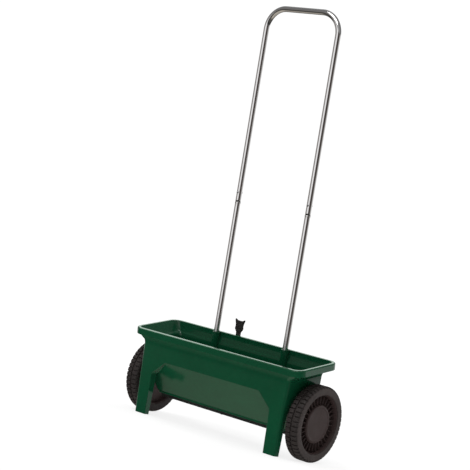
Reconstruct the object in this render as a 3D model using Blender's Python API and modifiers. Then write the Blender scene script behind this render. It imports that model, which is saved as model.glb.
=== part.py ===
"""Garden drop spreader: a moulded trough hopper on two wheels and two legs, with a
slotted shutter worked by a thumb lever, an agitator on the axle and a bolted
tube handle.

World frame: +Z up, +X along the axle towards the driven wheel, +Y to the rear.
The wheels and the legs' toes stand on Z = 0.  The hopper and everything bolted
to it are laid out in a hopper frame (origin on the axle, rim level), which a
parent empty turns by TIP about the axle, because the spreader rests tipped
forward on its legs.  Lengths below are in millimetres and are scaled once, by MM.
"""
import math

import bmesh
import bpy
from mathutils import Matrix, Vector

MM = 0.001

# --- stance -----------------------------------------------------------------
WHEEL_R = 100.0          # outside radius over the tread
TIP = math.radians(13.9)  # rest stance: the rim leans forward by this much
CENTRE_Y = 13.4          # puts the middle of the overall box on Y = 0

# --- hopper -----------------------------------------------------------------
RIM_Z = 151.0            # rim above the axle
RIM_HALF = 276.5
RIM_FRONT, RIM_REAR = -94.0, 79.0
RIM_RADIUS = 29.0
SKIRT = 18.0
LEAN = 0.1334            # slope of the rear wall, apron and tubes (7.6 degrees)
LEAN_ANGLE = math.atan(LEAN)
WALL = 2.8
APRON_Y0 = -85.5         # apron face at SKIRT height
LEG_BOTTOM = -227.5      # below the rim, before the toes are cut level
LEG_OUT, LEG_IN = 242.0, 205.0
WINDOW_TOP, WINDOW_SIDE = -77.0, -114.0
WINDOW_HALF, WINDOW_LEG = 161.0, 203.0
TROUGH_BOTTOM = -178.0
FLOOR_TOP, FLOOR_BOTTOM = -175.0, -180.0
FLOOR_FRONT, FLOOR_REAR = -40.0, 34.0
SLOT_COUNT, SLOT_PITCH, SLOT_WIDTH, SLOT_LENGTH = 13, 32.0, 12.0, 24.0

# --- running gear -----------------------------------------------------------
AXLE_R = 5.0
CAP_R = 50.0

# --- handle -----------------------------------------------------------------
TUBE_R, TUBE_WALL = 8.0, 1.2
TUBE_X = 119.0
TUBE_Y = 63.0            # tube axis at rim level
SEAM = 356.0             # joint seam above the rim
HANDLE_TOP = 884.0       # top bar's axis above the rim
BEND_R = 58.0
SOCKET_R, SOCKET_DEPTH = 10.6, 96.0

# --- shutter and lever ------------------------------------------------------
LEVER_X = -60.0
PIVOT_Z = -64.0
ARM_DOWN = 113.0
TRAVEL = 16.0
GAP = 0.3


def clear_scene():
    for obj in list(bpy.data.objects):
        bpy.data.objects.remove(obj, do_unlink=True)


clear_scene()
parts = bpy.data.collections.new("garden_spreader")
cutters = bpy.data.collections.new("cutters")
bpy.context.scene.collection.children.link(parts)
bpy.context.scene.collection.children.link(cutters)

hopper_frame = bpy.data.objects.new("hopper_frame", None)
hopper_frame.location = (0.0, CENTRE_Y * MM, WHEEL_R * MM)
hopper_frame.rotation_euler = (TIP, 0.0, 0.0)
parts.objects.link(hopper_frame)
axle_frame = bpy.data.objects.new("axle_frame", None)
axle_frame.location = (0.0, CENTRE_Y * MM, WHEEL_R * MM)
parts.objects.link(axle_frame)


def material(name, colour, roughness, metallic=0.0):
    mat = bpy.data.materials.new(name)
    mat.use_nodes = True
    bsdf = mat.node_tree.nodes["Principled BSDF"]
    bsdf.inputs["Base Color"].default_value = (*colour, 1.0)
    bsdf.inputs["Roughness"].default_value = roughness
    bsdf.inputs["Metallic"].default_value = metallic
    return mat


GREEN = material("hopper_green", (0.008, 0.075, 0.036), 0.34)
WHEEL_BLACK = material("wheel_black", (0.045, 0.032, 0.030), 0.55)
TYRE_BLACK = material("tyre_black", (0.030, 0.024, 0.023), 0.75)
LEVER_BLACK = material("lever_black", (0.020, 0.018, 0.018), 0.45)
RAIL_BLACK = material("rail_black", (0.012, 0.014, 0.012), 0.50)
AGITATOR_GREY = material("agitator_grey", (0.10, 0.10, 0.10), 0.50)
BUSH_WHITE = material("bush_white", (0.60, 0.60, 0.58), 0.45)
CHROME = material("tube_chrome", (0.75, 0.75, 0.76), 0.08, 1.0)
ZINC = material("zinc_steel", (0.55, 0.55, 0.56), 0.35, 1.0)


def finish_object(name, mesh, mat, parent, collection=None):
    obj = bpy.data.objects.new(name, mesh)
    (collection or parts).objects.link(obj)
    if mat:
        mesh.materials.clear()
        mesh.materials.append(mat)
    obj.parent = parent
    return obj


def smooth(obj, angle=35.0):
    obj.data.shade_smooth()
    obj.data.set_sharp_from_angle(angle=math.radians(angle))


def mesh_from(bm, name):
    bmesh.ops.recalc_face_normals(bm, faces=bm.faces)
    mesh = bpy.data.meshes.new(name)
    bm.to_mesh(mesh)
    bm.free()
    return mesh


def rounded_rect(half, y0, y1, radius, z, steps=4):
    """Corner arcs of a rounded rectangle, anticlockwise seen from above."""
    ring = []
    for cx, cy, start in (
        (half - radius, y1 - radius, 0.0),
        (-half + radius, y1 - radius, 90.0),
        (-half + radius, y0 + radius, 180.0),
        (half - radius, y0 + radius, 270.0),
    ):
        for k in range(steps + 1):
            a = math.radians(start + 90.0 * k / steps)
            ring.append(Vector((cx + radius * math.cos(a), cy + radius * math.sin(a), z)) * MM)
    return ring


def loft(name, rings):
    """A closed skin through rings of equal length, capped at both ends."""
    bm = bmesh.new()
    rows = [[bm.verts.new(p) for p in ring] for ring in rings]
    n = len(rows[0])
    for a, b in zip(rows, rows[1:]):
        for i in range(n):
            bm.faces.new((a[i], a[(i + 1) % n], b[(i + 1) % n], b[i]))
    bm.faces.new(rows[0])
    bm.faces.new(rows[-1])
    return mesh_from(bm, name)


def cutter(name, mesh, parent):
    obj = finish_object(name, mesh, None, parent, cutters)
    obj.hide_render = True
    obj.display_type = "WIRE"
    return obj


def boolean(obj, other, operation):
    mod = obj.modifiers.new(operation.lower() + "_" + other.name, "BOOLEAN")
    mod.operation = operation
    mod.solver = "EXACT"
    mod.object = other


def cylinder_mesh(name, radius, p0, p1, segments=24, radius2=None):
    """A cylinder or cone whose axis runs from p0 to p1 (millimetres)."""
    p0, p1 = Vector(p0) * MM, Vector(p1) * MM
    axis = p1 - p0
    bm = bmesh.new()
    turn = axis.to_track_quat("Z", "Y").to_matrix().to_4x4()
    bmesh.ops.create_cone(
        bm, cap_ends=True, cap_tris=False, segments=segments,
        radius1=radius * MM, radius2=(radius if radius2 is None else radius2) * MM,
        depth=axis.length, matrix=Matrix.Translation((p0 + p1) / 2) @ turn)
    return mesh_from(bm, name)


def box_mesh(name, lo, hi):
    lo, hi = Vector(lo) * MM, Vector(hi) * MM
    bm = bmesh.new()
    size = hi - lo
    bmesh.ops.create_cube(
        bm, size=1.0,
        matrix=Matrix.Translation((lo + hi) / 2) @ Matrix.Diagonal((*size, 1.0)))
    return mesh_from(bm, name)


def tapered_mesh(name, outline_a, outline_b):
    """A solid between two unlike outlines with the same number of points."""
    return loft(name, [[Vector(p) * MM for p in outline_a], [Vector(p) * MM for p in outline_b]])


def curve_to_mesh(name, curve):
    """Mesh of a curve's evaluated shape, with its loose caps welded."""
    obj = bpy.data.objects.new(name + "_curve", curve)
    bpy.context.scene.collection.objects.link(obj)
    graph = bpy.context.evaluated_depsgraph_get()
    mesh = bpy.data.meshes.new_from_object(obj.evaluated_get(graph))
    mesh.name = name
    bpy.data.objects.remove(obj, do_unlink=True)
    bm = bmesh.new()
    bm.from_mesh(mesh)
    bmesh.ops.remove_doubles(bm, verts=bm.verts, dist=0.000005)
    bmesh.ops.recalc_face_normals(bm, faces=bm.faces)
    bm.to_mesh(mesh)
    bm.free()
    return mesh


def plate_mesh(name, outline, thickness, origin, across, upward):
    """A flat outline given as (across, upward) pairs, extruded to both sides of
    a plane through `origin`."""
    curve = bpy.data.curves.new(name, "CURVE")
    curve.dimensions = "2D"
    curve.fill_mode = "BOTH"
    curve.extrude = thickness / 2 * MM
    spline = curve.splines.new("POLY")
    spline.points.add(len(outline) - 1)
    for point, (u, w) in zip(spline.points, outline):
        point.co = (u * MM, w * MM, 0.0, 1.0)
    spline.use_cyclic_u = True
    mesh = curve_to_mesh(name, curve)
    u, w = Vector(across).normalized(), Vector(upward).normalized()
    n = u.cross(w)
    turn = Matrix((u, w, n)).transposed().to_4x4()
    mesh.transform(Matrix.Translation(Vector(origin) * MM) @ turn)
    return mesh


def tube_mesh(name, radius, points, resolution=4):
    curve = bpy.data.curves.new(name, "CURVE")
    curve.dimensions = "3D"
    curve.bevel_depth = radius * MM
    curve.bevel_resolution = resolution
    curve.use_fill_caps = True
    curve.render_resolution_u = 0
    spline = curve.splines.new("POLY")
    spline.points.add(len(points) - 1)
    for point, p in zip(spline.points, points):
        point.co = (*(Vector(p) * MM), 1.0)
    return curve_to_mesh(name, curve)


def boxes_mesh(name, boxes):
    """Several separate boxes in one mesh, given as (low, high) corners."""
    bm = bmesh.new()
    for lo, hi in boxes:
        lo, hi = Vector(lo) * MM, Vector(hi) * MM
        bmesh.ops.create_cube(
            bm, size=1.0,
            matrix=Matrix.Translation((lo + hi) / 2) @ Matrix.Diagonal((*(hi - lo), 1.0)))
    return mesh_from(bm, name)


def turned(name, profile, segments, mat, parent, axis="X", place=(0, 0, 0)):
    """A closed (radius, station) loop swept round with a Screw modifier.

    Stations run along `axis`; the loop runs down its outer side first."""
    bm = bmesh.new()
    verts = [bm.verts.new(Vector((r, 0.0, s)) * MM) for r, s in profile]
    for i, v in enumerate(verts):
        bm.edges.new((v, verts[(i + 1) % len(verts)]))
    mesh = bpy.data.meshes.new(name)
    bm.to_mesh(mesh)
    bm.free()
    obj = finish_object(name, mesh, mat, parent)
    obj.location = Vector(place) * MM
    if axis == "X":
        obj.rotation_euler = (0.0, math.radians(90.0), 0.0)
    screw = obj.modifiers.new("turn", "SCREW")
    screw.axis = "Z"
    screw.angle = math.tau
    screw.steps = screw.render_steps = segments
    screw.use_merge_vertices = True
    screw.merge_threshold = 0.00001
    screw.use_smooth_shade = True
    return obj


def apron_y(z):
    return APRON_Y0 - LEAN * (-SKIRT - 2.0 - z)


def tube_y(z):
    return TUBE_Y + LEAN * z


def rim(points):
    """Shift (x, y, height-from-rim) points to heights above the axle."""
    return [(x, y, z + RIM_Z) for x, y, z in points]


# ---------------------------------------------------------------------------
# Hopper: outer skin, apron with two channel legs, inner cavity, sockets, slots
# ---------------------------------------------------------------------------
REAR_KNEE = -100.0
REAR_AT_KNEE = 54.0
REAR_BOTTOM = 32.0
SIDE_TOP, SIDE_BOTTOM = 248.0, 223.0


def trough_front(z):
    """Outside of the trough's front panel, from the window's top to the floor."""
    k = (WINDOW_TOP - z) / (WINDOW_TOP - TROUGH_BOTTOM)
    return apron_y(WINDOW_TOP) + (FLOOR_FRONT + 2.0 - apron_y(WINDOW_TOP)) * k


def side_half(z):
    k = (WINDOW_TOP - z) / (WINDOW_TOP - TROUGH_BOTTOM)
    return SIDE_TOP + (SIDE_BOTTOM - SIDE_TOP) * k


outer_levels = [
    (0.0, RIM_HALF - 3.0, RIM_FRONT + 3.0, RIM_REAR - 3.0, RIM_RADIUS - 3.0),
    (-0.9, RIM_HALF - 0.9, RIM_FRONT + 0.9, RIM_REAR - 0.9, RIM_RADIUS - 0.9),
    (-3.0, RIM_HALF, RIM_FRONT, RIM_REAR, RIM_RADIUS),
    (-SKIRT, RIM_HALF, RIM_FRONT, RIM_REAR, RIM_RADIUS),
    (-SKIRT - 0.3, 268.5, -90.5, 72.0, 24.0),
    (-25.0, 260.0, -88.4, 67.5, 18.0),
    (-31.0, 252.5, -87.4, 63.6, 13.0),
    (-40.0, 249.3, apron_y(-40.0), 62.0, 10.0),
    (WINDOW_TOP, SIDE_TOP, apron_y(WINDOW_TOP), 62.0 + LEAN * (WINDOW_TOP + 40.0), 9.0),
    (REAR_KNEE, side_half(REAR_KNEE), trough_front(REAR_KNEE), REAR_AT_KNEE, 8.5),
    (TROUGH_BOTTOM, SIDE_BOTTOM, trough_front(TROUGH_BOTTOM), REAR_BOTTOM, 8.0),
]
inner_levels = [
    (4.0, RIM_HALF - 4.2, RIM_FRONT + 4.2, RIM_REAR - 4.2, RIM_RADIUS - 4.2),
    (-15.2, RIM_HALF - 4.2, RIM_FRONT + 4.2, RIM_REAR - 4.2, RIM_RADIUS - 4.2),
    (-16.4, 267.0, -87.5, 70.0, 21.5),
    (-22.6, 257.9, -85.3, 64.9, 15.5),
    (-29.3, 249.9, -84.5, 60.9, 10.5),
    (-40.0, 249.3 - WALL, apron_y(-40.0) + WALL, 62.0 - WALL, 7.4),
    (WINDOW_TOP, SIDE_TOP - WALL, apron_y(WINDOW_TOP) + WALL + 0.4,
     62.0 + LEAN * (WINDOW_TOP + 40.0) - WALL, 6.6),
    (REAR_KNEE, side_half(REAR_KNEE) - WALL, trough_front(REAR_KNEE) + WALL + 0.4,
     REAR_AT_KNEE - WALL - 0.2, 6.2),
    (FLOOR_TOP, side_half(FLOOR_TOP) - WALL, trough_front(FLOOR_TOP) + WALL + 0.6,
     REAR_BOTTOM + 0.8 - WALL, 5.6),
]


def rim_loft(name, levels, steps):
    return loft(name, [rounded_rect(half, y0, y1, radius, z + RIM_Z, steps)
                       for z, half, y0, y1, radius in levels])


def add(obj, name, mesh, operation="UNION", parent=hopper_frame):
    boolean(obj, cutter(name, mesh, parent), operation)


hopper = finish_object("hopper", rim_loft("hopper", outer_levels, 5), GREEN, hopper_frame)
add(hopper, "floor_slab", box_mesh("floor_slab", (-222.0, FLOOR_FRONT, RIM_Z + FLOOR_BOTTOM),
                                   (222.0, FLOOR_REAR, RIM_Z + FLOOR_TOP)))
for side in (-1, 1):
    add(hopper, "axle_boss_%d" % side, cylinder_mesh(
        "axle_boss", 14.0, (side * 220.0, 0, 0), (side * 234.0, 0, 0), 28))

# the lever's plane leans with the rear wall; its pivot stands on a boss
pivot_axis = Vector((0.0, math.cos(LEAN_ANGLE), -math.sin(LEAN_ANGLE)))
up_wall = Vector((0.0, math.sin(LEAN_ANGLE), math.cos(LEAN_ANGLE)))
ARM_FRONT = 82.2 + LEAN * PIVOT_Z        # front face of the lever's arm at the pivot
wall_y = 62.0 + LEAN * (PIVOT_Z + 40.0)
pivot = Vector((LEVER_X, ARM_FRONT, RIM_Z + PIVOT_Z))
add(hopper, "pivot_boss", cylinder_mesh(
    "pivot_boss", 8.5, pivot - pivot_axis * (ARM_FRONT - wall_y + 1.0), pivot - pivot_axis * GAP, 28))

# apron and legs: a face plate with the window cut out, and two flanges a leg
FLAP = 3.0
apron_up = (0.0, LEAN, 1.0)
lean_scale = math.sqrt(1.0 + LEAN * LEAN)
apron_outline = []
for side in (1, -1):
    half = [(248.6, -60.0), (LEG_OUT, LEG_BOTTOM), (LEG_IN, LEG_BOTTOM),
            (WINDOW_LEG, WINDOW_SIDE), (WINDOW_HALF, WINDOW_TOP)]
    if side < 0:
        half.reverse()
    apron_outline += [(side * x, (z - WINDOW_TOP) * lean_scale) for x, z in half]
apron_back = Vector((0.0, apron_y(WINDOW_TOP), RIM_Z + WINDOW_TOP)) + pivot_axis * (FLAP / 2 + 0.02)
add(hopper, "apron_plate", plate_mesh("apron_plate", apron_outline, FLAP, apron_back, (1, 0, 0), apron_up))


def leg_flange(name, side, x_top, x_bottom, thick, z_top, deep_top, deep_bottom):
    """A plate behind the apron that runs from the leg's bottom to z_top."""
    rings = []
    for z, x, deep in ((LEG_BOTTOM, x_bottom, deep_bottom), (z_top, x_top, deep_top)):
        rings.append([(side * x, apron_y(z) + 0.6, z + RIM_Z),
                      (side * (x - thick), apron_y(z) + 0.6, z + RIM_Z),
                      (side * (x - thick), apron_y(z) + deep, z + RIM_Z),
                      (side * x, apron_y(z) + deep, z + RIM_Z)])
    add(hopper, "%s_%d" % (name, side), tapered_mesh(name, rings[0], rings[1]))


for side in (-1, 1):
    leg_flange("leg_outer", side, 248.4, LEG_OUT - 0.1, 3.0, -62.0, 58.0, 20.0)
    leg_flange("leg_inner", side, WINDOW_LEG + 3.1, LEG_IN + 3.1, 3.0, -96.0, 22.0, 17.0)
    # the window's slanting corner is closed back to the trough by a web
    web = [(WINDOW_LEG + 0.1, WINDOW_SIDE), (WINDOW_HALF + 0.1, WINDOW_TOP),
           (WINDOW_HALF + 4.0, WINDOW_TOP), (WINDOW_LEG + 3.0, WINDOW_SIDE - 1.0)]
    add(hopper, "window_web_%d" % side, tapered_mesh(
        "window_web",
        [(side * x, apron_y(z) + 0.6, z + RIM_Z) for x, z in web],
        [(side * x, max(trough_front(z), apron_y(z)) + 1.6, z + RIM_Z) for x, z in web]))

# level the toes with the ground
add(hopper, "ground", box_mesh("ground", (-300.0, -260.0, -60.0), (300.0, 260.0, 0.0)),
    "DIFFERENCE", None)
add(hopper, "cavity", rim_loft("cavity", inner_levels, 4), "DIFFERENCE")

# tube sockets: sleeves half sunk in the rear wall, each tied to the rim by a web
SOCKET_TOP = -1.2
TUBE_SCREW_Z = -60.0
for side in (-1, 1):
    x = side * TUBE_X
    add(hopper, "socket_%d" % side, cylinder_mesh(
        "socket", SOCKET_R, (x, tube_y(SOCKET_TOP), RIM_Z + SOCKET_TOP),
        (x, tube_y(-SOCKET_DEPTH), RIM_Z - SOCKET_DEPTH), 24))
    add(hopper, "socket_web_%d" % side, plate_mesh(
        "socket_web", [(68.0, -1.6), (58.0, -34.0), (63.0, -30.0), (70.0, -19.0), (76.0, -17.0), (76.0, -1.6)],
        8.0, (x, 0, RIM_Z), (0, 1, 0), (0, 0, 1)))
for side in (-1, 1):
    x = side * TUBE_X
    add(hopper, "socket_bore_%d" % side, cylinder_mesh(
        "socket_bore", TUBE_R + GAP, (x, tube_y(6.0), RIM_Z + 6.0),
        (x, tube_y(4.0 - SOCKET_DEPTH), RIM_Z + 4.0 - SOCKET_DEPTH), 24), "DIFFERENCE")
    hole = Vector((x, tube_y(TUBE_SCREW_Z), RIM_Z + TUBE_SCREW_Z))
    add(hopper, "socket_screw_%d" % side, cylinder_mesh(
        "socket_screw", 2.4, hole + pivot_axis * 5.0, hole + pivot_axis * 16.0, 12), "DIFFERENCE")
    add(hopper, "bush_bore_%d" % side, cylinder_mesh(
        "bush_bore", 8.4, (side * 205.0, 0, 0), (side * 240.0, 0, 0), 28), "DIFFERENCE")
add(hopper, "pivot_pilot", cylinder_mesh(
    "pivot_pilot", 2.4, pivot - pivot_axis * 12.5, pivot + pivot_axis * 2.0, 14), "DIFFERENCE")
slot_x = [(i - (SLOT_COUNT - 1) / 2) * SLOT_PITCH for i in range(SLOT_COUNT)]
MID_Y = (FLOOR_FRONT + FLOOR_REAR) / 2
add(hopper, "slots", boxes_mesh("slots", [
    ((x - SLOT_WIDTH / 2, MID_Y - SLOT_LENGTH / 2, RIM_Z + FLOOR_BOTTOM - 3.0),
     (x + SLOT_WIDTH / 2, MID_Y + SLOT_LENGTH / 2, RIM_Z + FLOOR_TOP + 3.0)) for x in slot_x]),
    "DIFFERENCE")
RAIL_SCREW_X = (-176.0, 0.0, 176.0)
RAIL_SCREW_Y = {"front": FLOOR_FRONT + 6.4, "rear": FLOOR_REAR - 6.4}
for row, y in RAIL_SCREW_Y.items():
    for x in RAIL_SCREW_X:
        add(hopper, "rail_pilot_%s_%d" % (row, x), cylinder_mesh(
            "rail_pilot", 1.9, (x, y, RIM_Z + FLOOR_BOTTOM - 2.0), (x, y, RIM_Z + FLOOR_BOTTOM + 4.0), 10),
            "DIFFERENCE")

# ---------------------------------------------------------------------------
# Shutter, its rails and their screws
# ---------------------------------------------------------------------------
PLATE_TOP, PLATE_BOTTOM = FLOOR_BOTTOM - 0.5, FLOOR_BOTTOM - 3.0
PIN_DROP = ARM_DOWN
pin = pivot - up_wall * PIN_DROP
shutter = finish_object("shutter", box_mesh(
    "shutter", (-212.0, FLOOR_FRONT + 13.0, RIM_Z + PLATE_BOTTOM),
    (212.0, FLOOR_REAR - 13.0, RIM_Z + PLATE_TOP)), RAIL_BLACK, hopper_frame)
add(shutter, "shutter_tab", box_mesh("shutter_tab", (LEVER_X - 12.0, FLOOR_REAR - 16.0, RIM_Z + PLATE_BOTTOM),
                                     (LEVER_X + 12.0, pin.y - 3.0, RIM_Z + PLATE_TOP)))
add(shutter, "shutter_lug", box_mesh("shutter_lug", (LEVER_X - 6.0, pin.y - 8.0, RIM_Z + PLATE_BOTTOM + 0.01),
                                     (LEVER_X + 6.0, pin.y - 3.02, RIM_Z + PLATE_TOP + 14.0)))
add(shutter, "shutter_pin", cylinder_mesh("shutter_pin", 3.0, pin - pivot_axis * 5.0,
                                          pin + pivot_axis * 6.0, 16))
add(shutter, "shutter_slots", boxes_mesh("shutter_slots", [
    ((x + TRAVEL - SLOT_WIDTH / 2, MID_Y - SLOT_LENGTH / 2, RIM_Z + PLATE_BOTTOM - 3.0),
     (x + TRAVEL + SLOT_WIDTH / 2, MID_Y + SLOT_LENGTH / 2, RIM_Z + PLATE_TOP + 2.0))
    for x in slot_x[:-1]]), "DIFFERENCE")

RAIL_BOTTOM = FLOOR_BOTTOM - 8.5
rail_section = [(0.0, -GAP), (0.0, -8.5), (14.0, -8.5), (14.0, -3.6), (10.4, -3.6), (10.4, -GAP)]
for row, y, way in (("front", FLOOR_FRONT + 2.0, 1), ("rear", FLOOR_REAR - 2.0, -1)):
    outline = [(way * a, b) for a, b in rail_section]
    rail = finish_object("shutter_rail_" + row, plate_mesh(
        "shutter_rail_" + row, outline, 428.0, (0, y, RIM_Z + FLOOR_BOTTOM), (0, 1, 0), (0, 0, 1)),
        RAIL_BLACK, hopper_frame)
    if row == "rear":
        add(rail, "tab_notch", box_mesh(
            "tab_notch", (LEVER_X - 14.0 - TRAVEL, y - 20.0, RIM_Z + PLATE_BOTTOM - 0.6),
            (LEVER_X + 14.0, y + 5.0, RIM_Z + FLOOR_BOTTOM + 2.0)), "DIFFERENCE")
    for number, x in enumerate(RAIL_SCREW_X, 1):
        screw_y = RAIL_SCREW_Y[row]
        add(rail, "rail_hole_%s_%d" % (row, number), cylinder_mesh(
            "rail_hole", 1.9, (x, screw_y, RIM_Z + RAIL_BOTTOM - 2.0),
            (x, screw_y, RIM_Z + FLOOR_BOTTOM + 2.0), 10), "DIFFERENCE")
        turned("rail_screw_%s_%d" % (row, number),
               [(0.0, 12.0), (1.6, 12.0), (1.6, -GAP), (3.3, -GAP), (2.9, -1.6), (1.6, -2.2), (0.0, -2.2)],
               12, ZINC, hopper_frame, "Z", (x, screw_y, RIM_Z + RAIL_BOTTOM))

# ---------------------------------------------------------------------------
# Lever
# ---------------------------------------------------------------------------
arm_mid = pivot + pivot_axis * 2.0


def lever_outline():
    """Stem, thumb paddle with two horns and a dished top, in (across, up) pairs."""
    right = [(7.2, -118.0), (9.5, -100.0), (9.5, -20.0), (8.6, 12.0), (7.8, 50.0), (7.6, 71.0), (9.5, 75.5),
             (12.6, 79.0), (12.9, 83.0), (11.6, 87.5), (12.6, 96.0), (15.6, 104.0), (15.4, 107.0)]
    dish = [(8.0 - 4.0 * k, 103.9 - 0.5 * math.sin(math.pi * (k + 1) / 6)) for k in range(5)]
    left = [(-u, w) for u, w in reversed(right)]
    foot = [(7.2 * math.cos(a), -118.0 + 7.2 * math.sin(a))
            for a in (math.radians(180.0 + 30.0 * k) for k in range(1, 6))]
    return right + dish + left + foot


lever_mesh = plate_mesh("lever", lever_outline(), 4.0, arm_mid, (1, 0, 0), up_wall)
lever = finish_object("lever", lever_mesh, LEVER_BLACK, hopper_frame)
add(lever, "lever_hub", cylinder_mesh("lever_hub", 11.0, pivot + pivot_axis * 0.01, pivot + pivot_axis * 5.6, 28))
paddle = [(u * 0.94, 84.0 + (w - 84.0) * 0.93) for u, w in lever_outline() if w > 74.0]
add(lever, "lever_paddle", plate_mesh("lever_paddle", paddle, 8.0, arm_mid, (1, 0, 0), up_wall))
add(lever, "lever_bore", cylinder_mesh("lever_bore", 3.0, pivot - pivot_axis * 2.0,
                                       pivot + pivot_axis * 8.0, 20), "DIFFERENCE")
slot = []
for start, w in ((0.0, -PIN_DROP + 3.0), (180.0, -PIN_DROP - 3.5)):
    for k in range(7):
        a = math.radians(start + 30.0 * k)
        slot.append((3.4 * math.cos(a), w + 3.4 * math.sin(a)))
add(lever, "lever_slot", plate_mesh("lever_slot", slot, 12.0, arm_mid, (1, 0, 0), up_wall), "DIFFERENCE")


def along(obj, point, direction):
    """Stand a turned piece at a point with its own Z along a direction."""
    obj.location = Vector(point) * MM
    obj.rotation_euler = Vector(direction).to_track_quat("Z", "Y").to_euler()


washer = turned("lever_washer", [(7.0, 1.0), (7.0, 0.0), (2.4, 0.0), (2.4, 1.0)], 24, ZINC, hopper_frame, "Z")
along(washer, pivot + pivot_axis * (5.6 + GAP), pivot_axis)
screw = turned("lever_pivot_screw",
               [(0.0, 3.6), (2.6, 3.5), (4.2, 2.4), (4.8, 0.9), (4.8, 0.0), (1.9, 0.0), (1.9, -18.6), (0.0, -18.6)],
               20, ZINC, hopper_frame, "Z")
along(screw, pivot + pivot_axis * (6.6 + 2 * GAP), pivot_axis)

# ---------------------------------------------------------------------------
# Handle: two lower tubes with reduced ends, a bent upper tube, bolts and nuts
# ---------------------------------------------------------------------------
tube_dir = Vector((0.0, math.sin(LEAN_ANGLE), math.cos(LEAN_ANGLE)))


def on_tube(side, z):
    return Vector((side * TUBE_X, tube_y(z), RIM_Z + z))


BOLT_Z = SEAM + 26.0
TUBE_FOOT = 6.0 - SOCKET_DEPTH
for side, word in ((-1, "left"), (1, "right")):
    foot = on_tube(side, TUBE_FOOT)
    length = (SEAM - TUBE_FOOT) / math.cos(LEAN_ANGLE)
    tube = turned("lower_tube_" + word,
                  [(6.4, length + 52.0), (6.4, length - 0.4), (TUBE_R, length - 1.4), (TUBE_R, 0.0),
                   (TUBE_R - TUBE_WALL, 0.0), (TUBE_R - TUBE_WALL, length - 4.0), (5.2, length - 1.0),
                   (5.2, length + 52.0)],
                  20, CHROME, hopper_frame, "Z")
    along(tube, foot, tube_dir)
    bolt_at = on_tube(side, BOLT_Z)
    add(tube, "spigot_hole_" + word, cylinder_mesh(
        "spigot_hole", 2.7, bolt_at - pivot_axis * 12.0, bolt_at + pivot_axis * 12.0, 14), "DIFFERENCE")
    screw_at = on_tube(side, TUBE_SCREW_Z)
    add(tube, "tube_hole_" + word, cylinder_mesh(
        "tube_hole", 2.4, screw_at + pivot_axis * 3.0, screw_at + pivot_axis * 13.0, 12), "DIFFERENCE")
    fixing = turned("tube_screw_" + word,
                    [(0.0, 13.4), (2.4, 13.2), (3.8, 12.2), (3.8, 11.0), (1.8, 11.0), (1.8, 3.5), (0.0, 3.0)],
                    14, ZINC, hopper_frame, "Z")
    along(fixing, screw_at, pivot_axis)
    bolt = turned("joint_bolt_" + word,
                  [(0.0, 11.0), (2.0, 10.9), (3.6, 10.0), (4.3, 8.3), (2.3, 8.3), (2.3, -13.4), (0.0, -13.4)],
                  16, ZINC, hopper_frame, "Z")
    along(bolt, bolt_at, -pivot_axis)
    nut = finish_object("joint_nut_" + word, cylinder_mesh(
        "joint_nut", 4.6, bolt_at + pivot_axis * 8.4, bolt_at + pivot_axis * 12.0, 6), ZINC, hopper_frame)
    add(nut, "nut_bore_" + word, cylinder_mesh(
        "nut_bore", 2.65, bolt_at + pivot_axis * 6.0, bolt_at + pivot_axis * 15.0, 16), "DIFFERENCE")


def handle_path(extra=0.0):
    """Centre line of the bent tube, up the left side, across and down the right."""
    path = [on_tube(-1, SEAM) - tube_dir * extra]
    top = on_tube(-1, HANDLE_TOP)
    for side in (-1, 1):
        centre = Vector((side * (TUBE_X - BEND_R), top.y, top.z)) - tube_dir * BEND_R
        arc = []
        for k in range(8):
            a = math.radians(90.0 * k / 7)
            arc.append(centre + Vector((side * BEND_R * math.cos(a), 0, 0)) + tube_dir * BEND_R * math.sin(a))
        path += arc if side < 0 else list(reversed(arc))
    path.append(on_tube(1, SEAM) - tube_dir * extra)
    return path


handle = finish_object("upper_handle", tube_mesh("upper_handle", TUBE_R, handle_path()), CHROME, hopper_frame)
add(handle, "handle_bore", tube_mesh("handle_bore", TUBE_R - TUBE_WALL, handle_path(2.0)), "DIFFERENCE")
for side in (-1, 1):
    bolt_at = on_tube(side, BOLT_Z)
    add(handle, "handle_hole_%d" % side, cylinder_mesh(
        "handle_hole", 2.7, bolt_at - pivot_axis * 12.0, bolt_at + pivot_axis * 12.0, 14), "DIFFERENCE")

# ---------------------------------------------------------------------------
# Axle, agitator, bushes and wheels
# ---------------------------------------------------------------------------
axle = turned("axle", [(0.0, 286.5), (4.2, 286.5), (AXLE_R, 285.5), (AXLE_R, -285.5), (4.2, -286.5), (0.0, -286.5)],
              24, ZINC, axle_frame)
PIN_X = 264.0
add(axle, "axle_pin_hole", cylinder_mesh("axle_pin_hole", 1.9, (PIN_X, 0, -8.0), (PIN_X, 0, 8.0), 12),
    "DIFFERENCE", axle_frame)
drive_pin = turned("drive_pin", [(0.0, 13.0), (1.2, 13.0), (1.5, 12.6), (1.5, -12.6), (1.2, -13.0), (0.0, -13.0)],
                   12, ZINC, axle_frame, "Z", (PIN_X, 0, 0))

agitator = finish_object("agitator", cylinder_mesh("agitator", 9.0, (-198.0, 0, 0), (198.0, 0, 0), 20),
                         AGITATOR_GREY, axle_frame)
fingers = []
for k in range(13):
    x = (k - 6) * SLOT_PITCH
    reach = (3.0, 3.0, 19.5)
    if k % 2:
        reach = (3.0, 19.5, 3.0)
    fingers.append(((x - reach[0], -reach[1], -reach[2]), (x + reach[0], reach[1], reach[2])))
add(agitator, "fingers", boxes_mesh("fingers", fingers), "UNION", axle_frame)
add(agitator, "agitator_bore", cylinder_mesh("agitator_bore", AXLE_R + GAP, (-210.0, 0, 0), (210.0, 0, 0), 24),
    "DIFFERENCE", axle_frame)

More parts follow.
